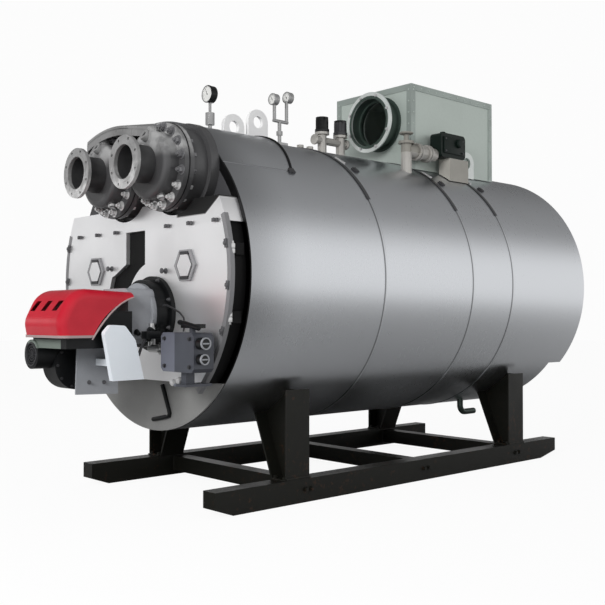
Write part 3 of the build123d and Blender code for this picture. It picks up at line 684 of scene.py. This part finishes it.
SLOT_OF = by_member({
    "stainless_casing": "cladding hood_panel", "black_paint": "rubber black outlet caps ink",
    "dark_grey_paint": "dark_fixing clamp head", "polished_steel": "zinc bright girth washer nozzle",
    "light_alloy": "door_rim door", "flange_grey": "boss", "red_cover": "trim", "grey_plate": "housing",
    "galvanised": "flue", "valve_grey": "fittings drive", "gauge_metal": "dial gauge",
    "skid_black": "skid",
})
finishes = {}


# Settings

def tone(label, words, default):
    return FloatVectorProperty(name=label, description=words, subtype="COLOR_GAMMA", size=3, min=0.0,
                               max=1.0, default=default)


def length(label, words, default):
    return FloatProperty(name=label, description=words, default=default / 1000, min=0.0, unit="LENGTH",
                         subtype="DISTANCE")


class BoilerTones(bpy.types.PropertyGroup):
    """Display colours of the boiler's finishes"""
    cladding: tone("Cladding", "Brushed cladding on the drum", (0.825, 0.835, 0.85))
    # This black is also the painted shadow on the header cover and, in part, painted shade on the front
    # plate.
    soot: tone("Soot black", "Black paint behind and between the doors", (0.05, 0.05, 0.052))
    rim: tone("Door rims", "Grey edge round the doors", (0.52, 0.52, 0.53))
    # On the front plate above the doors this dark grey is partly painted shade under the hood.
    plate: tone("End plate", "Plate behind the exchanger heads", (0.31, 0.31, 0.32))
    lower_plate: tone("Lower plate", "Plate below the doors", (0.58, 0.58, 0.575))
    door: tone("Doors", "Aluminium paint on the smoke box doors", (0.97, 0.97, 0.975))
    hatch: tone("Hatches", "Hexagon frames of the inspection hatches", (0.60, 0.60, 0.61))
    black: tone("Black", "Black paint on burner and smoke box", (0.075, 0.08, 0.085))
    head: tone("Heads", "Cast exchanger heads", (0.33, 0.33, 0.335))
    nozzle: tone("Nozzles", "Water nozzle flanges", (0.62, 0.62, 0.62))
    # Painted light: the paler tone on top of the heads, as if lit from above.
    dust: tone("Dust", "Pale worn paint on top of the heads", (0.72, 0.72, 0.72))
    zinc: tone("Zinc", "Zinc-plated bolts and washers", (0.84, 0.84, 0.84))
    boss: tone("Vent bosses", "Grey vent bosses on the heads", (0.60, 0.60, 0.60))
    cover: tone("Burner cover", "Red paint on the burner cover", (0.77, 0.075, 0.17))
    cover_lip: tone("Cover lip", "Rolled lower edge of the burner cover", (0.66, 0.58, 0.58))
    housing: tone("Burner housing", "Light grey burner housing", (0.62, 0.63, 0.65))
    fan_box: tone("Fan box", "Air box over the fan", (0.46, 0.50, 0.47))
    panel: tone("Panel", "Blue-white control panel", (0.95, 0.975, 1.0))
    valve: tone("Gas valve", "Grey gas valve block", (0.29, 0.30, 0.33))
    valve_side: tone("Gas valve side", "Other half of the gas valve block", (0.43, 0.44, 0.485))
    bright: tone("Bright metal", "Plated pipes and bolts", (0.80, 0.80, 0.80))
    clamp: tone("Clamps", "Door clamps and knobs", (0.38, 0.38, 0.39))
    fixing: tone("Fixings", "Dark bolts and clamps", (0.26, 0.26, 0.27))
    flue: tone("Flue box", "Zinc-coated flue box", (0.76, 0.80, 0.775))
    flue_frame: tone("Flue frame", "Angles round the flue box", (0.66, 0.70, 0.68))
    flue_dark: tone("Flue neck", "Neck behind the outlet flange", (0.29, 0.345, 0.32))
    pale: tone("Pale steel", "Outlet flange and ring lug", (0.90, 0.92, 0.91))
    drive: tone("Damper drive", "Dark green damper drive", (0.063, 0.11, 0.094))
    fitting: tone("Drum fittings", "Pipes and valves on the drum", (0.73, 0.72, 0.70))
    brass: tone("Feed valve", "Brownish feed valve", (0.61, 0.60, 0.57))
    seat: tone("Drive seat", "Seat under the damper drive", (0.72, 0.71, 0.68))
    gauge: tone("Gauge cases", "Gauge cases and their pipes", (0.66, 0.66, 0.66))
    dial: tone("Dials", "White gauge dials", (0.93, 0.93, 0.92))
    ink: tone("Dial ink", "Marks and needles on the dials", (0.05, 0.05, 0.05))
    eye: tone("Lifting eyes", "Pale lifting eyes", (1.0, 1.0, 1.0))
    skid: tone("Skid", "Black paint on rails and legs", (0.10, 0.10, 0.085))
    strap: tone("Straps", "Straps over the seams", (0.42, 0.42, 0.43))
    rubber: tone("Gaskets", "Black gaskets", (0.08, 0.08, 0.085))


class BoilerSizes(bpy.types.PropertyGroup):
    """Sizes of the fixings and small fittings"""
    door_clamp: length("Door clamp", "Length of a clamp bar on a door edge", 52)
    girth_bolt: length("Girth bolt", "Width across flats of the bolts on the head flanges", 36)
    cover_bolt: length("Cover bolt", "Width across flats of bolts on covers and feet", 24)
    duct_bolt: length("Duct bolt", "Width across flats of the bolts on the flue outlet", 19)
    rivet: length("Rivet", "Head width of the sheet rivets", 13)
    seam_bead: length("Seam bead", "Height of the rolled bead beside each cladding seam", 4)
    girth_bolts: IntProperty(name="Girth bolts", description="Number of bolts on each head flange",
                             default=16, min=4)


class BoilerStage(bpy.types.PropertyGroup):
    """Camera and light"""
    camera_place: FloatVectorProperty(name="Camera", description="Place from the front rim and the floor",
                                      size=3, unit="LENGTH", default=(5.0407, -3.3020, 1.1853))
    camera_heading: FloatProperty(name="Heading", description="Turn of the camera about the upright axis",
                                  unit="ROTATION", default=math.radians(47.461))
    camera_rise: FloatProperty(name="Rise", description="Upward tilt of the camera", unit="ROTATION",
                               default=math.radians(0.978))
    lens: FloatProperty(name="Lens", description="Focal length in millimetres on a 36 mm frame",
                        default=53.502)
    ambient: FloatProperty(name="Ambient", description="Brightness of the plain surround", default=0.5)
    key: FloatProperty(name="Key", description="Power of the lamp beside the camera in watts", default=520.0)


# Pieces; the operator of the same name runs each build function and shows its docstring

def build_finishes(tones):
    """Makes the materials and puts one on every node"""
    finishes.update(make_finishes(tones))
    for name, material in finishes.items():
        material.name = name
    missing = sorted(set(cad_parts) - set(FINISH_OF))
    if missing:
        raise RuntimeError(f"no finish for {missing}")
    for name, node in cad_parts.items():
        for slot in node.material_slots:
            slot.material = finishes[FINISH_OF[name]]


def build_cladding(sizes):
    """Builds the drum's cladding in four panels, with a groove and a rolled bead at each seam"""
    radius, bead = DRUM_RADIUS, mm(sizes.seam_bead)
    profile = [(radius - 60, 0), (radius - 6, 0), (radius, 5), (radius, 30)]
    for seam in SEAM_Y:
        profile += [(radius, seam - 12), (radius - 4, seam - 9), (radius - 4, seam - 3), (radius, seam),
                    (radius + bead * 0.8, seam + 3), (radius + bead, seam + 8),
                    (radius + bead * 0.8, seam + 13), (radius, seam + 17)]
    profile += [(radius, DRUM_END), (radius - 60, DRUM_END)]
    drum = Shape().turned(profile, facing(0, 0, DRUM_AXIS_Z, REARWARD), 192, loop=True)
    cladding = drum.finish("drum_cladding", "cladding")
    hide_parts("drum_casing")


def tongue_lip():
    """A pressed lip that hangs from the front edge and corners of the hood's tongue."""
    front_y, depth, thickness = -330, 40, 9
    front = [(-310 + 500 * i / 16, front_y) for i in range(17)]
    edge = [(-400, -240), (-370, -300), *front, (250, -300), (280, -240)]
    middle = Vector((-60, -150))
    lip = Shape()
    rings = []
    for x, y in edge:
        top = DRUM_AXIS_Z + arc_height(DRUM_RADIUS - 65 * y / front_y, x)
        inner_x, inner_y = Vector((x, y)) + (middle - Vector((x, y))).normalized() * thickness
        ring = [(x, y, top + 3), (x, y, top - depth), (inner_x, inner_y, top - depth),
                (inner_x, inner_y, top + 3)]
        rings.append(lip.corners(ring, Matrix.Translation(at(0, 0, 0))))
    lip.skin(rings).finish("tongue_lip", "hood_panel")


def build_seam_fixings():
    """Builds a tongue and a latch near each end of the straps, and the hood's gasket and lip"""
    buckles, tongues = Shape(), Shape()
    for seam in SEAM_Y:
        for angle in (51, 129):
            place = on_drum(angle, seam + 84)
            buckles.block(56, 40, 0, 9, place)
            buckles.block(30, 48, 5, 15, place)
        for angle in (59, 121):
            tongues.block(20, 104, -2, 9, on_drum(angle, seam + 46))
    across = [HOOD_HALF * (i / 29 - 1) for i in range(59)]
    line = [(x, HOOD_REAR[0] + arc_height(HOOD_REAR[1], x), HOOD_TOP[0] + arc_height(HOOD_TOP[1], x))
            for x in across]
    Shape().tube(line, 10, 8).finish("hood_gasket", "rubber")
    for x, y, z in (line[0], line[-1]):
        buckles.block(42, 42, -8, 14, facing(x, y, z - 4, (x, 0, z - DRUM_AXIS_Z)))
    buckles.finish("strap_buckles", "dark_fixing", 2.0)
    tongues.finish("strap_tongues", "zinc", 2.0)
    tongue_lip()


def build_door_fittings(sizes):
    """Builds the rims, clamps, knobs and hinges of the doors, the hatch lids and the lower handle"""
    rims = Shape()
    outside, inside = 978, 946
    for start, sweep in ((160, 72), (-47, 68)):
        outer, inner = [on_circle(radius, 40, start, sweep) for radius in (outside, inside)]
        rims.prism(outer + inner[::-1], -28, 3, facing(0, DOOR_Y, DRUM_AXIS_Z, FORWARD))
    rims.finish("door_rims", "door_rim")
    clamps, lids, slots, knobs, hinges = [Shape() for i in range(5)]
    bar = mm(sizes.door_clamp)
    spots = [(x, 1758, 0) for x in (-761, -514, -270, 338, 579, 834)]
    spots += [(-922, 1686, 75), (-935, 1446, 90), (-925, 1240, 105), (-800, 920, 125),
              (939, 1616, -80), (955, 1374, -95), (905, 1110, -112), (800, 920, -125)]
    for x, z, turn in spots:
        place = rolled(facing(x, DOOR_Y, z, FORWARD), turn)
        clamps.block(bar, 22, 6, 15, place)
        clamps.block(14, 18, 0, 8, place, bar * 0.36)
        clamps.disc(8, 0, 25, place, 12)
        clamps.disc(14, 15, 22, place, 6)
    clamps.finish("door_clamps", "clamp", 1.5)
    for x in (-HATCH_X, HATCH_X):
        lids.prism(on_circle(75, 6), 0, 6, facing(x, DOOR_Y - 12, HATCH_Z, FORWARD))
        for z in (HATCH_Z - 75, HATCH_Z + 75):
            slots.block(86, 19, 0, 8, facing(x, DOOR_Y - 12, z, FORWARD))
    for x, z in ((-333, 1517), (317, 1479)):
        knobs.turned([(0, 0), (18, 0), (18, 5), (9, 8), (9, 24), (17, 29), (17, 36), (7, 41), (0, 41)],
                     facing(x, DOOR_Y, z, FORWARD), 20)
    lids.finish("hatch_lids", "door")
    slots.finish("hatch_slots", "dark_fixing")
    knobs.finish("door_knobs", "clamp")
    bow = ((122, 751), (196, 600), (206, 572), (200, 556), (182, 551), (16, 519))
    Shape().tube([(x, -23, z) for x, z in bow], 14).finish("plate_handle", "black")
    for side in (-1, 1):
        for z in (1586, 1190):
            x = arc_height(955, z - DRUM_AXIS_Z) + 12
            hinges.turned([(0, -44), (9, -44), (9, -30), (17, -30), (17, -2), (14, 0), (17, 2), (17, 30),
                           (9, 30), (9, 44), (0, 44)], facing(side * x, -102, z, UP), 20)
    hinges.finish("door_hinges", "bright", 1.5)


def build_head_fixings(sizes):
    """Bolts the flanges of the heads and adds their gaskets, bosses, shoulders and plugs"""
    across, count, radius = mm(sizes.girth_bolt), sizes.girth_bolts, 241

    def girth(y, direction):
        return [bolt for x in HEAD_X
                for bolt in bolt_circle((x, y, HEAD_Z), direction, radius, count, 180 / count)]

    front = girth(-240, FORWARD)
    fixings("girth_bolts", front, hex_sizes(across), "girth", 3)
    fixings("girth_nuts", girth(-170, REARWARD), hex_sizes(across), "girth", 5)
    washers, gaskets, plugs, bosses, shoulders, raised = [Shape() for i in range(6)]
    for place, direction in front:
        washers.ring(14, 31, 0, 3.5, facing(*place, direction), 20)
    for x in HEAD_X:
        gaskets.ring(262, 273, -3, 3, facing(x, -205, HEAD_Z, REARWARD), 72)
        boss = facing(x, -342, HEAD_Z + 178, (0, -0.85, 0.52))
        bosses.ring(16, 35, -24, 14, boss, 28)
        gaskets.disc(16.5, -14, 6, boss, 20)
        shoulders.turned([(168, 296), (208.5, 296), (208.5, 316), (204, 328), (194, 337), (181, 341),
                          (168, 341)], facing(x, 0, HEAD_Z, FORWARD), 72, loop=True)
        plugs.turned([(0, 0), (26, 0), (26, 16), (19, 26), (0, 30)],
                     facing(x + 88, -288, HEAD_Z - 186, (0.42, -0.1, -0.9)), 20)
        raised.ring(106, 122, -1.5, 0, facing(x, -495, HEAD_Z, REARWARD), 56)
    washers.finish("girth_washers", "girth")
    gaskets.finish("girth_gaskets", "rubber")
    bosses.finish("vent_bosses", "boss", 3.0)
    shoulders.finish("channel_shoulders", "head")
    plugs.finish("drain_plugs", "bright")
    raised.finish("nozzle_raised_faces", "nozzle")


def build_burner_fittings(sizes):
    """Builds the burner's edge trim, intake ring with grille, bolts, glands and cables"""
    trim, intake, glands, cable = [Shape() for i in range(4)]
    for side in (-1, 1):
        trim.tube([(BURNER_X + side * 240, -430 - 275 * t, 1305 - 62 * t - 183 * t * t)
                   for t in [i / 14 for i in range(15)]], 5.5, 8)
    trim.finish("cover_edge_trim", "trim")
    place = facing(-15, -862, 968, FORWARD)
    intake.turned([(61, 0), (64, 5), (71, 5), (74, 0), (74, -10), (61, -10)], place, 40, loop=True)
    for radius in (20, 36, 52):
        intake.ring(radius - 2, radius + 2, -6, -2, place, 28)
    for angle in range(0, 180, 30):
        intake.block(124, 4, -8, -4, rolled(place, angle))
    intake.finish("intake_ring", "dark_fixing")
    bolts = bolt_circle((BURNER_X, -158, BURNER_Z), FORWARD, 225, 8, 22.5)
    bolts += [((212, y, z), RIGHT) for y, z in ((-603, 800), (-502, 796), (-640, 1020), (-450, 1030))]
    bolts += bolt_circle((-210, FAN_Y, FAN_Z), LEFT, 62, 4, 45)
    fixings("burner_bolts", bolts, hex_sizes(mm(sizes.cover_bolt) * 0.7), "clamp", 7)
    screws = bolt_circle((80, FAN_Y, FAN_Z), RIGHT, 134, 10)
    fixings("fan_screws", screws, hex_sizes(13, studs=False), "dark_fixing", 8)
    for x, y, z in ((352, -300, 1068), (385, -280, 1106), (330, -360, 1104)):
        glands.turned([(0, -20), (20, -20), (20, 22), (15, 30), (15, 44), (10, 52), (0, 52)],
                      facing(x, y, z, (1, 0, -0.35)), 14)
    glands.block(92, 46, 0, 64, facing(402, -315, 1082, RIGHT))
    glands.finish("cable_glands", "black", 2.0)
    cable.tube([(415, -215, 1262), (470, -222, 1262), (532, -215, 1240), (590, -212, 1216),
                (632, -214, 1186), (650, -220, 1150), (652, -228, 1104)], 5.5, 10)
    cable.tube([(395, -330, 1072), (440, -360, 1052), (452, -392, 1012), (450, -410, 960)], 9, 10)
    cable.finish("burner_conduit", "dark_fixing")


def build_gas_fittings():
    """Builds the rings, nipples, screws, lever grip and unions of the gas train"""
    rings, nipples, unions = [Shape() for i in range(3)]
    for z, radius, end in ((1040, 34, 950), (950, 30, 940)):
        place = facing(end, -285, z, RIGHT)
        inner, outer = radius - 6, radius + 1
        rings.turned([(inner, 0), (inner, 5), (outer, 5), (outer, -5), (inner, -5)], place, 28, loop=True)
        rings.block(radius * 1.3, 8, -2, 5, place)
    rings.finish("knob_rings", "housing")
    for x, z in ((600, 812), (660, 828), (720, 812)):
        nipples.turned([(0, -14), (13, -14), (13, 20), (19, 20), (19, 44), (0, 44)],
                       facing(x, -236, z, (0, -1, -0.3)), 12)
    nipples.finish("gas_nipples", "washer", 1.0)
    screws = [((x, -325, z), FORWARD) for x in (600, 850) for z in (905, 1065)]
    fixings("valve_screws", screws, hex_sizes(17, studs=False), "dark_fixing", 9)
    lever = [(700, -292, 1160), (760, -292, 1152), (896, -292, 1126)]
    Shape().tube(lever, 15).finish("valve_lever_grip", "black", 3.0)
    for x in (478, 520):
        unions.prism(on_circle(42, 6), -14, 14, facing(x, -255, 1000, RIGHT))
    unions.finish("pipe_unions", "bright", 2.0)


def build_flue_fittings(sizes):
    """Bolts the flue outlet, adds its gasket and neck and screws the angles of the flue box"""
    bolts = bolt_circle((OUTLET_X, 1955, OUTLET_Z), FORWARD, 218, 8, 22.5)
    fixings("outlet_bolts", bolts, hex_sizes(mm(sizes.duct_bolt), studs=False), "zinc", 11)
    mouth = facing(OUTLET_X, 1955, OUTLET_Z, FORWARD)
    Shape().ring(189.5, 212, 0, 2.5, mouth, 64).finish("outlet_gasket", "outlet")
    throat, collar, joint = [facing(OUTLET_X, y, OUTLET_Z, REARWARD) for y in (2040, 1990, 2090)]
    Shape().ring(172, 190, 0, 16, throat, 64).finish("outlet_inner_ring", "outlet")
    neck = Shape().ring(197, 206, 4, 10, collar, 64).ring(197, 222, 0, 8, joint, 64)
    neck.finish("neck_flange", "outlet")
    screws = []
    for y in range(2130, 3150, 92):
        screws += [((425, y, 3008), RIGHT), ((-405, y, 3008), LEFT), ((398, y, 3035), UP),
                   ((-378, y, 3035), UP)]
    for x in range(-330, 400, 90):
        screws += [((x, 3160, 3008), REARWARD), ((x, 2122, 3035), UP), ((x, 3133, 3035), UP)]
    for z in range(2540, 3000, 90):
        screws += [((x, y, z), side) for x, side in ((425, RIGHT), (-405, LEFT)) for y in (2122, 3133)]
        screws += [((x, y, z), end) for y, end in ((2095, FORWARD), (3160, REARWARD)) for x in (398, -378)]
    fixings("flue_screws", screws, rivet_sizes(mm(sizes.rivet)), "flue", 13)


def build_drum_fittings():
    """Builds the small parts of the valves and the damper drive"""
    caps, wheel, flanges, plugs, drive = [Shape() for i in range(5)]
    cap_radius, cap_height = 50, 114
    for y in (1530, 1730):
        caps.turned([(cap_radius, 0), (cap_radius + 6, 4), (cap_radius + 6, 22), (cap_radius, 26),
                     (cap_radius, 96), (cap_radius - 6, cap_height), (0, cap_height)],
                    facing(0, y, 2630, UP))
        caps.tube([(0, y, 2738), (30, y - 10, 2742), (92, y - 34, 2716)], 6, 8)
    caps.finish("safety_valve_caps", "caps", 1.5)
    place = facing(FEED_X, 1960, 2600, UP)
    wheel.turned([(46, 0), (54, 4), (54, 12), (46, 16), (42, 8)], place, 32, loop=True)
    for angle in (0, 60, 120):
        wheel.block(94, 9, 3, 11, rolled(place, angle))
    wheel.disc(14, -6, 22, place, 14)
    wheel.finish("feed_valve_wheel", "fittings")
    for y in (2060, 2084, 2180, 2204):
        flanges.ring(53, 68, 0, 14, facing(FEED_X, y, 2478, REARWARD), 32)
    flanges.finish("feed_pipe_flanges", "fittings")
    for y in (1300, 1400):
        plugs.prism(on_circle(27, 6), 0, 20, facing(0, y, 2481, UP))
    for y in (1450, 1790):
        plugs.disc(40, -8, 8, facing(0, y, 2565, REARWARD), 24)
    plugs.finish("socket_plugs", "fittings", 1.5, "gauge_metal")
    drive.block(250, 130, 0, 10, facing(565, 2445, 2560, RIGHT))
    drive.turned([(0, 0), (36, 0), (36, 16), (28, 26), (0, 26)], facing(575, 2500, 2585, RIGHT), 24)
    drive.turned([(0, 0), (24, 0), (24, 12), (18, 20), (0, 20)], facing(510, 2380, 2655, UP), 20)
    drive.finish("drive_cover", "drive", 3.0)
    screws = [((575, 2445 + dy, 2560 + dz), RIGHT) for dy in (-108, 108) for dz in (-48, 48)]
    fixings("drive_screws", screws, hex_sizes(12, studs=False), "dark_fixing", 15)


def build_dials():
    """Builds the dials, marks, needles and bezels of the gauges"""
    dials, marks, bezels = [Shape() for i in range(3)]
    for y, z, radius in ((424, 2744, 59), (1020, 2806, 42), (1160, 2840, 42)):
        place = facing(0, y, z, FORWARD)
        dials.disc(radius - 5, 0, 2, place, 36)
        bezels.turned([(radius - 6, 0), (radius - 6, 5), (radius - 1, 7), (radius + 2, 3),
                       (radius + 2, -8), (radius - 2, -8)], place, 40, loop=True)
        for i in range(19):
            long = 9 if i % 3 == 0 else 5
            marks.block(long, 1.6, 2, 2.8, rolled(place, -45 + 15 * i), radius - 9 - long / 2)
        marks.prism([(-10, -2), (radius - 16, -0.6), (radius - 16, 0.6), (-10, 2)], 2.6, 3.6,
                    rolled(place, 118))
        marks.disc(4, 2, 5, place, 12)
    dials.finish("gauge_dials", "dial")
    marks.finish("dial_marks", "ink")
    bezels.finish("gauge_bezels", "gauge")


def build_skid_fittings(sizes):
    """Builds the foot plates, bolts and weld beads of the skid"""
    plates, welds = Shape(), Shape()
    bolts = []
    for side in (-1, 1):
        x = side * 712
        for y in LEG_Y:
            plates.block(130, 236, 0, 10, facing(x, y, 152, UP))
            bolts += [((x + dx, y + dy, 162), UP) for dx in (-44, 44) for dy in (-92, 92)]
            welds.tube([(side * 782, y - 100, 164), (side * 782, y + 100, 164)], 5, 6)
            welds.tube([(side * 778, y - 102, 166), (side * 778, y - 102, 724)], 4, 6)
        for y in (660, 1840, 3000):
            for offset in (-56, 56):
                welds.tube([(side * 659, y + offset, 34), (side * 659, y + offset, 138)], 5, 6)
            bolts += [((side * 781, y + dy, 84), (side, 0, 0)) for dy in (-26, 26)]
    plates.finish("foot_plates", "skid", 2.0)
    welds.finish("weld_beads", "skid")
    fixings("skid_bolts", bolts, hex_sizes(mm(sizes.cover_bolt), studs=False), "skid", 17)


def build_rear_fittings(sizes):
    """Bolts the rear smoke box and its cover and adds a handle"""
    back, above = 3692, DRUM_AXIS_Z - 600
    bolts = bolt_circle((0, back, DRUM_AXIS_Z), REARWARD, 385, 16)
    rim = bolt_circle((0, back - 14, DRUM_AXIS_Z), REARWARD, 950, 40)
    bolts += [(place, direction) for place, direction in rim if place[2] > above]
    fixings("rear_bolts", bolts, hex_sizes(mm(sizes.cover_bolt)), "dark_fixing", 19)
    bow = ((-80, 0), (-80, 22), (-60, 26), (60, 26), (80, 22), (80, 0))
    Shape().tube([(x, back + y, 1560) for x, y in bow], 9, 10).finish("rear_cover_handle", "dark_fixing")


# Stage

def surround(ambient):
    """Plain surround: white to the camera and in metal, softer as light."""
    finish = Finish(surround=True)
    seen, mirrored = finish.rays()
    strength = ambient + seen * (0.975 - ambient) + mirrored * (1.0 - ambient)
    return finish.surface("ShaderNodeBackground", {"Color": grey(1.0), "Strength": strength})


def floor_finish():
    """White with a soft shadow to the camera; in metal it is dark under the boiler and fades to white."""
    finish = Finish()
    seen, mirrored = finish.rays()
    away = finish.node("ShaderNodeVectorMath", {"operation": "LENGTH"}, {0: finish.place}, 1)
    share = seen * 0.93 + mirrored * finish.rise(away, 1.0, 15.0)
    x = finish.along("X")
    # Painted shadow: away from the camera the floor is darker within about 900 mm of the middle line, under
    # the boiler.
    beside = finish.rise(x * x, 300 ** 2, 900 ** 2)
    shade = finish.mix(seen, finish.mix(beside, grey(0.15), grey(0.5)), grey(0.95))
    lit = finish.node("ShaderNodeBsdfDiffuse", {}, {"Color": shade})
    glow = finish.node("ShaderNodeEmission", {}, {"Color": grey(1.0), "Strength": 1.0})
    return finish.surface("ShaderNodeMixShader", {0: share, 1: lit, 2: glow})


def card_finish(axis, stops):
    """A card that only metal mirrors: grey levels along one axis, as (millimetres, level) pairs."""
    finish = Finish()
    level = stops[0][1]
    place = finish.along(axis)
    for (start, low), (end, high) in zip(stops, stops[1:]):
        level = level + finish.rise(place, start, end) * (high - low)
    shade = finish.node("ShaderNodeCombineColor", {}, {"Red": level, "Green": level, "Blue": level})
    return finish.surface("ShaderNodeEmission", {"Color": shade, "Strength": 1.0})


def card(name, corners, material, lit=False):
    """A flat sheet of the stage, given by its corners in millimetres."""
    data = bpy.data.meshes.new(name)
    data.from_pydata([at(*corner) for corner in corners], [], [list(range(len(corners)))])
    material.name = name
    data.materials.append(material)
    sheet = new_object(name, data)
    if not lit:
        sheet.visible_camera = sheet.visible_diffuse = sheet.visible_shadow = False
    sheet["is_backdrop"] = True


def build_stage(stage):
    """Builds the floor, the white surround, two cards for the metal, the lamp and the camera"""
    scene = bpy.context.scene
    scene.world = surround(stage.ambient)
    far = 40000
    card("floor", ((-far, -far, 0), (far, -far, 0), (far, far, 0), (-far, far, 0)), floor_finish(), lit=True)
    left, right, near, distant, top = -22000, 9500, -16000, 24000, 6500
    card("ceiling", ((left, near, top), (left, distant, top), (right, distant, top), (right, near, top)),
         card_finish("X", ((-4000, 0.16), (3000, 0.34), (8500, 0.9))))
    rim = 2050
    card("low_card", ((-4300, -8000, 0), (-4300, -8000, rim), (-11300, -1800, rim), (-11300, -1800, 0)),
         card_finish("Z", ((0, 0.22), (900, 0.22), (2000, 0.95))))

    light = bpy.data.lights.new("key_lamp", "AREA")
    light.shape = "RECTANGLE"
    light.energy = stage.key
    light.size, light.size_y = 3.5, 3.0
    lamp = new_object("key_lamp", light)
    lamp.location = at(3500, -7500, 4500)
    lamp.rotation_euler = (at(0, 500, 1500) - lamp.location).to_track_quat("-Z", "Z").to_euler()
    lamp.visible_camera = lamp.visible_glossy = False

    lens = bpy.data.cameras.new("Photo camera")
    lens.lens = stage.lens
    lens.sensor_width = 36
    camera = new_object("Photo camera", lens)
    camera.location = at(*[mm(value) for value in stage.camera_place])
    camera.rotation_euler = (math.radians(90) + stage.camera_rise, 0, stage.camera_heading)
    scene.camera = camera
    scene.view_settings.view_transform = "Standard"


# Operators

def operator(build):
    """The operator that runs a build function with the groups of settings that its parameters name."""
    name = build.__name__.removeprefix("build_")
    groups = ["boiler_" + group for group in inspect.signature(build).parameters]

    def execute(self, context):
        build(*[getattr(context.scene, group) for group in groups])
        return {"FINISHED"}

    return type("BOILER_OT_" + name, (bpy.types.Operator,),
                {"__doc__": build.__doc__, "bl_idname": "boiler." + name,
                 "bl_label": name.replace("_", " ").capitalize(), "execute": execute})


OPERATORS = [operator(build) for build in (
    build_finishes, build_cladding, build_seam_fixings, build_door_fittings, build_head_fixings,
    build_burner_fittings, build_gas_fittings, build_flue_fittings, build_drum_fittings, build_dials,
    build_skid_fittings, build_rear_fittings, build_stage)]


class BOILER_PT_panel(bpy.types.Panel):
    """Lists the boiler's operators"""
    bl_label = "Industrial boiler"
    bl_space_type = "VIEW_3D"
    bl_region_type = "UI"
    bl_category = "Boiler"

    def draw(self, context):
        for item in OPERATORS:
            self.layout.operator(item.bl_idname)


GROUPS = {"boiler_tones": BoilerTones, "boiler_sizes": BoilerSizes, "boiler_stage": BoilerStage}
CLASSES = (*GROUPS.values(), *OPERATORS, BOILER_PT_panel)


def register():
    for item in CLASSES:
        bpy.utils.register_class(item)
    for name, group in GROUPS.items():
        setattr(bpy.types.Scene, name, PointerProperty(type=group))


def unregister():
    for name in GROUPS:
        delattr(bpy.types.Scene, name)
    for item in reversed(CLASSES):
        bpy.utils.unregister_class(item)


def main():
    register()
    for item in OPERATORS:
        family, name = item.bl_idname.split(".")
        getattr(getattr(bpy.ops, family), name)()
    visual_box = [list(corner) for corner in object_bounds()]


if __name__ == "__main__":
    main()
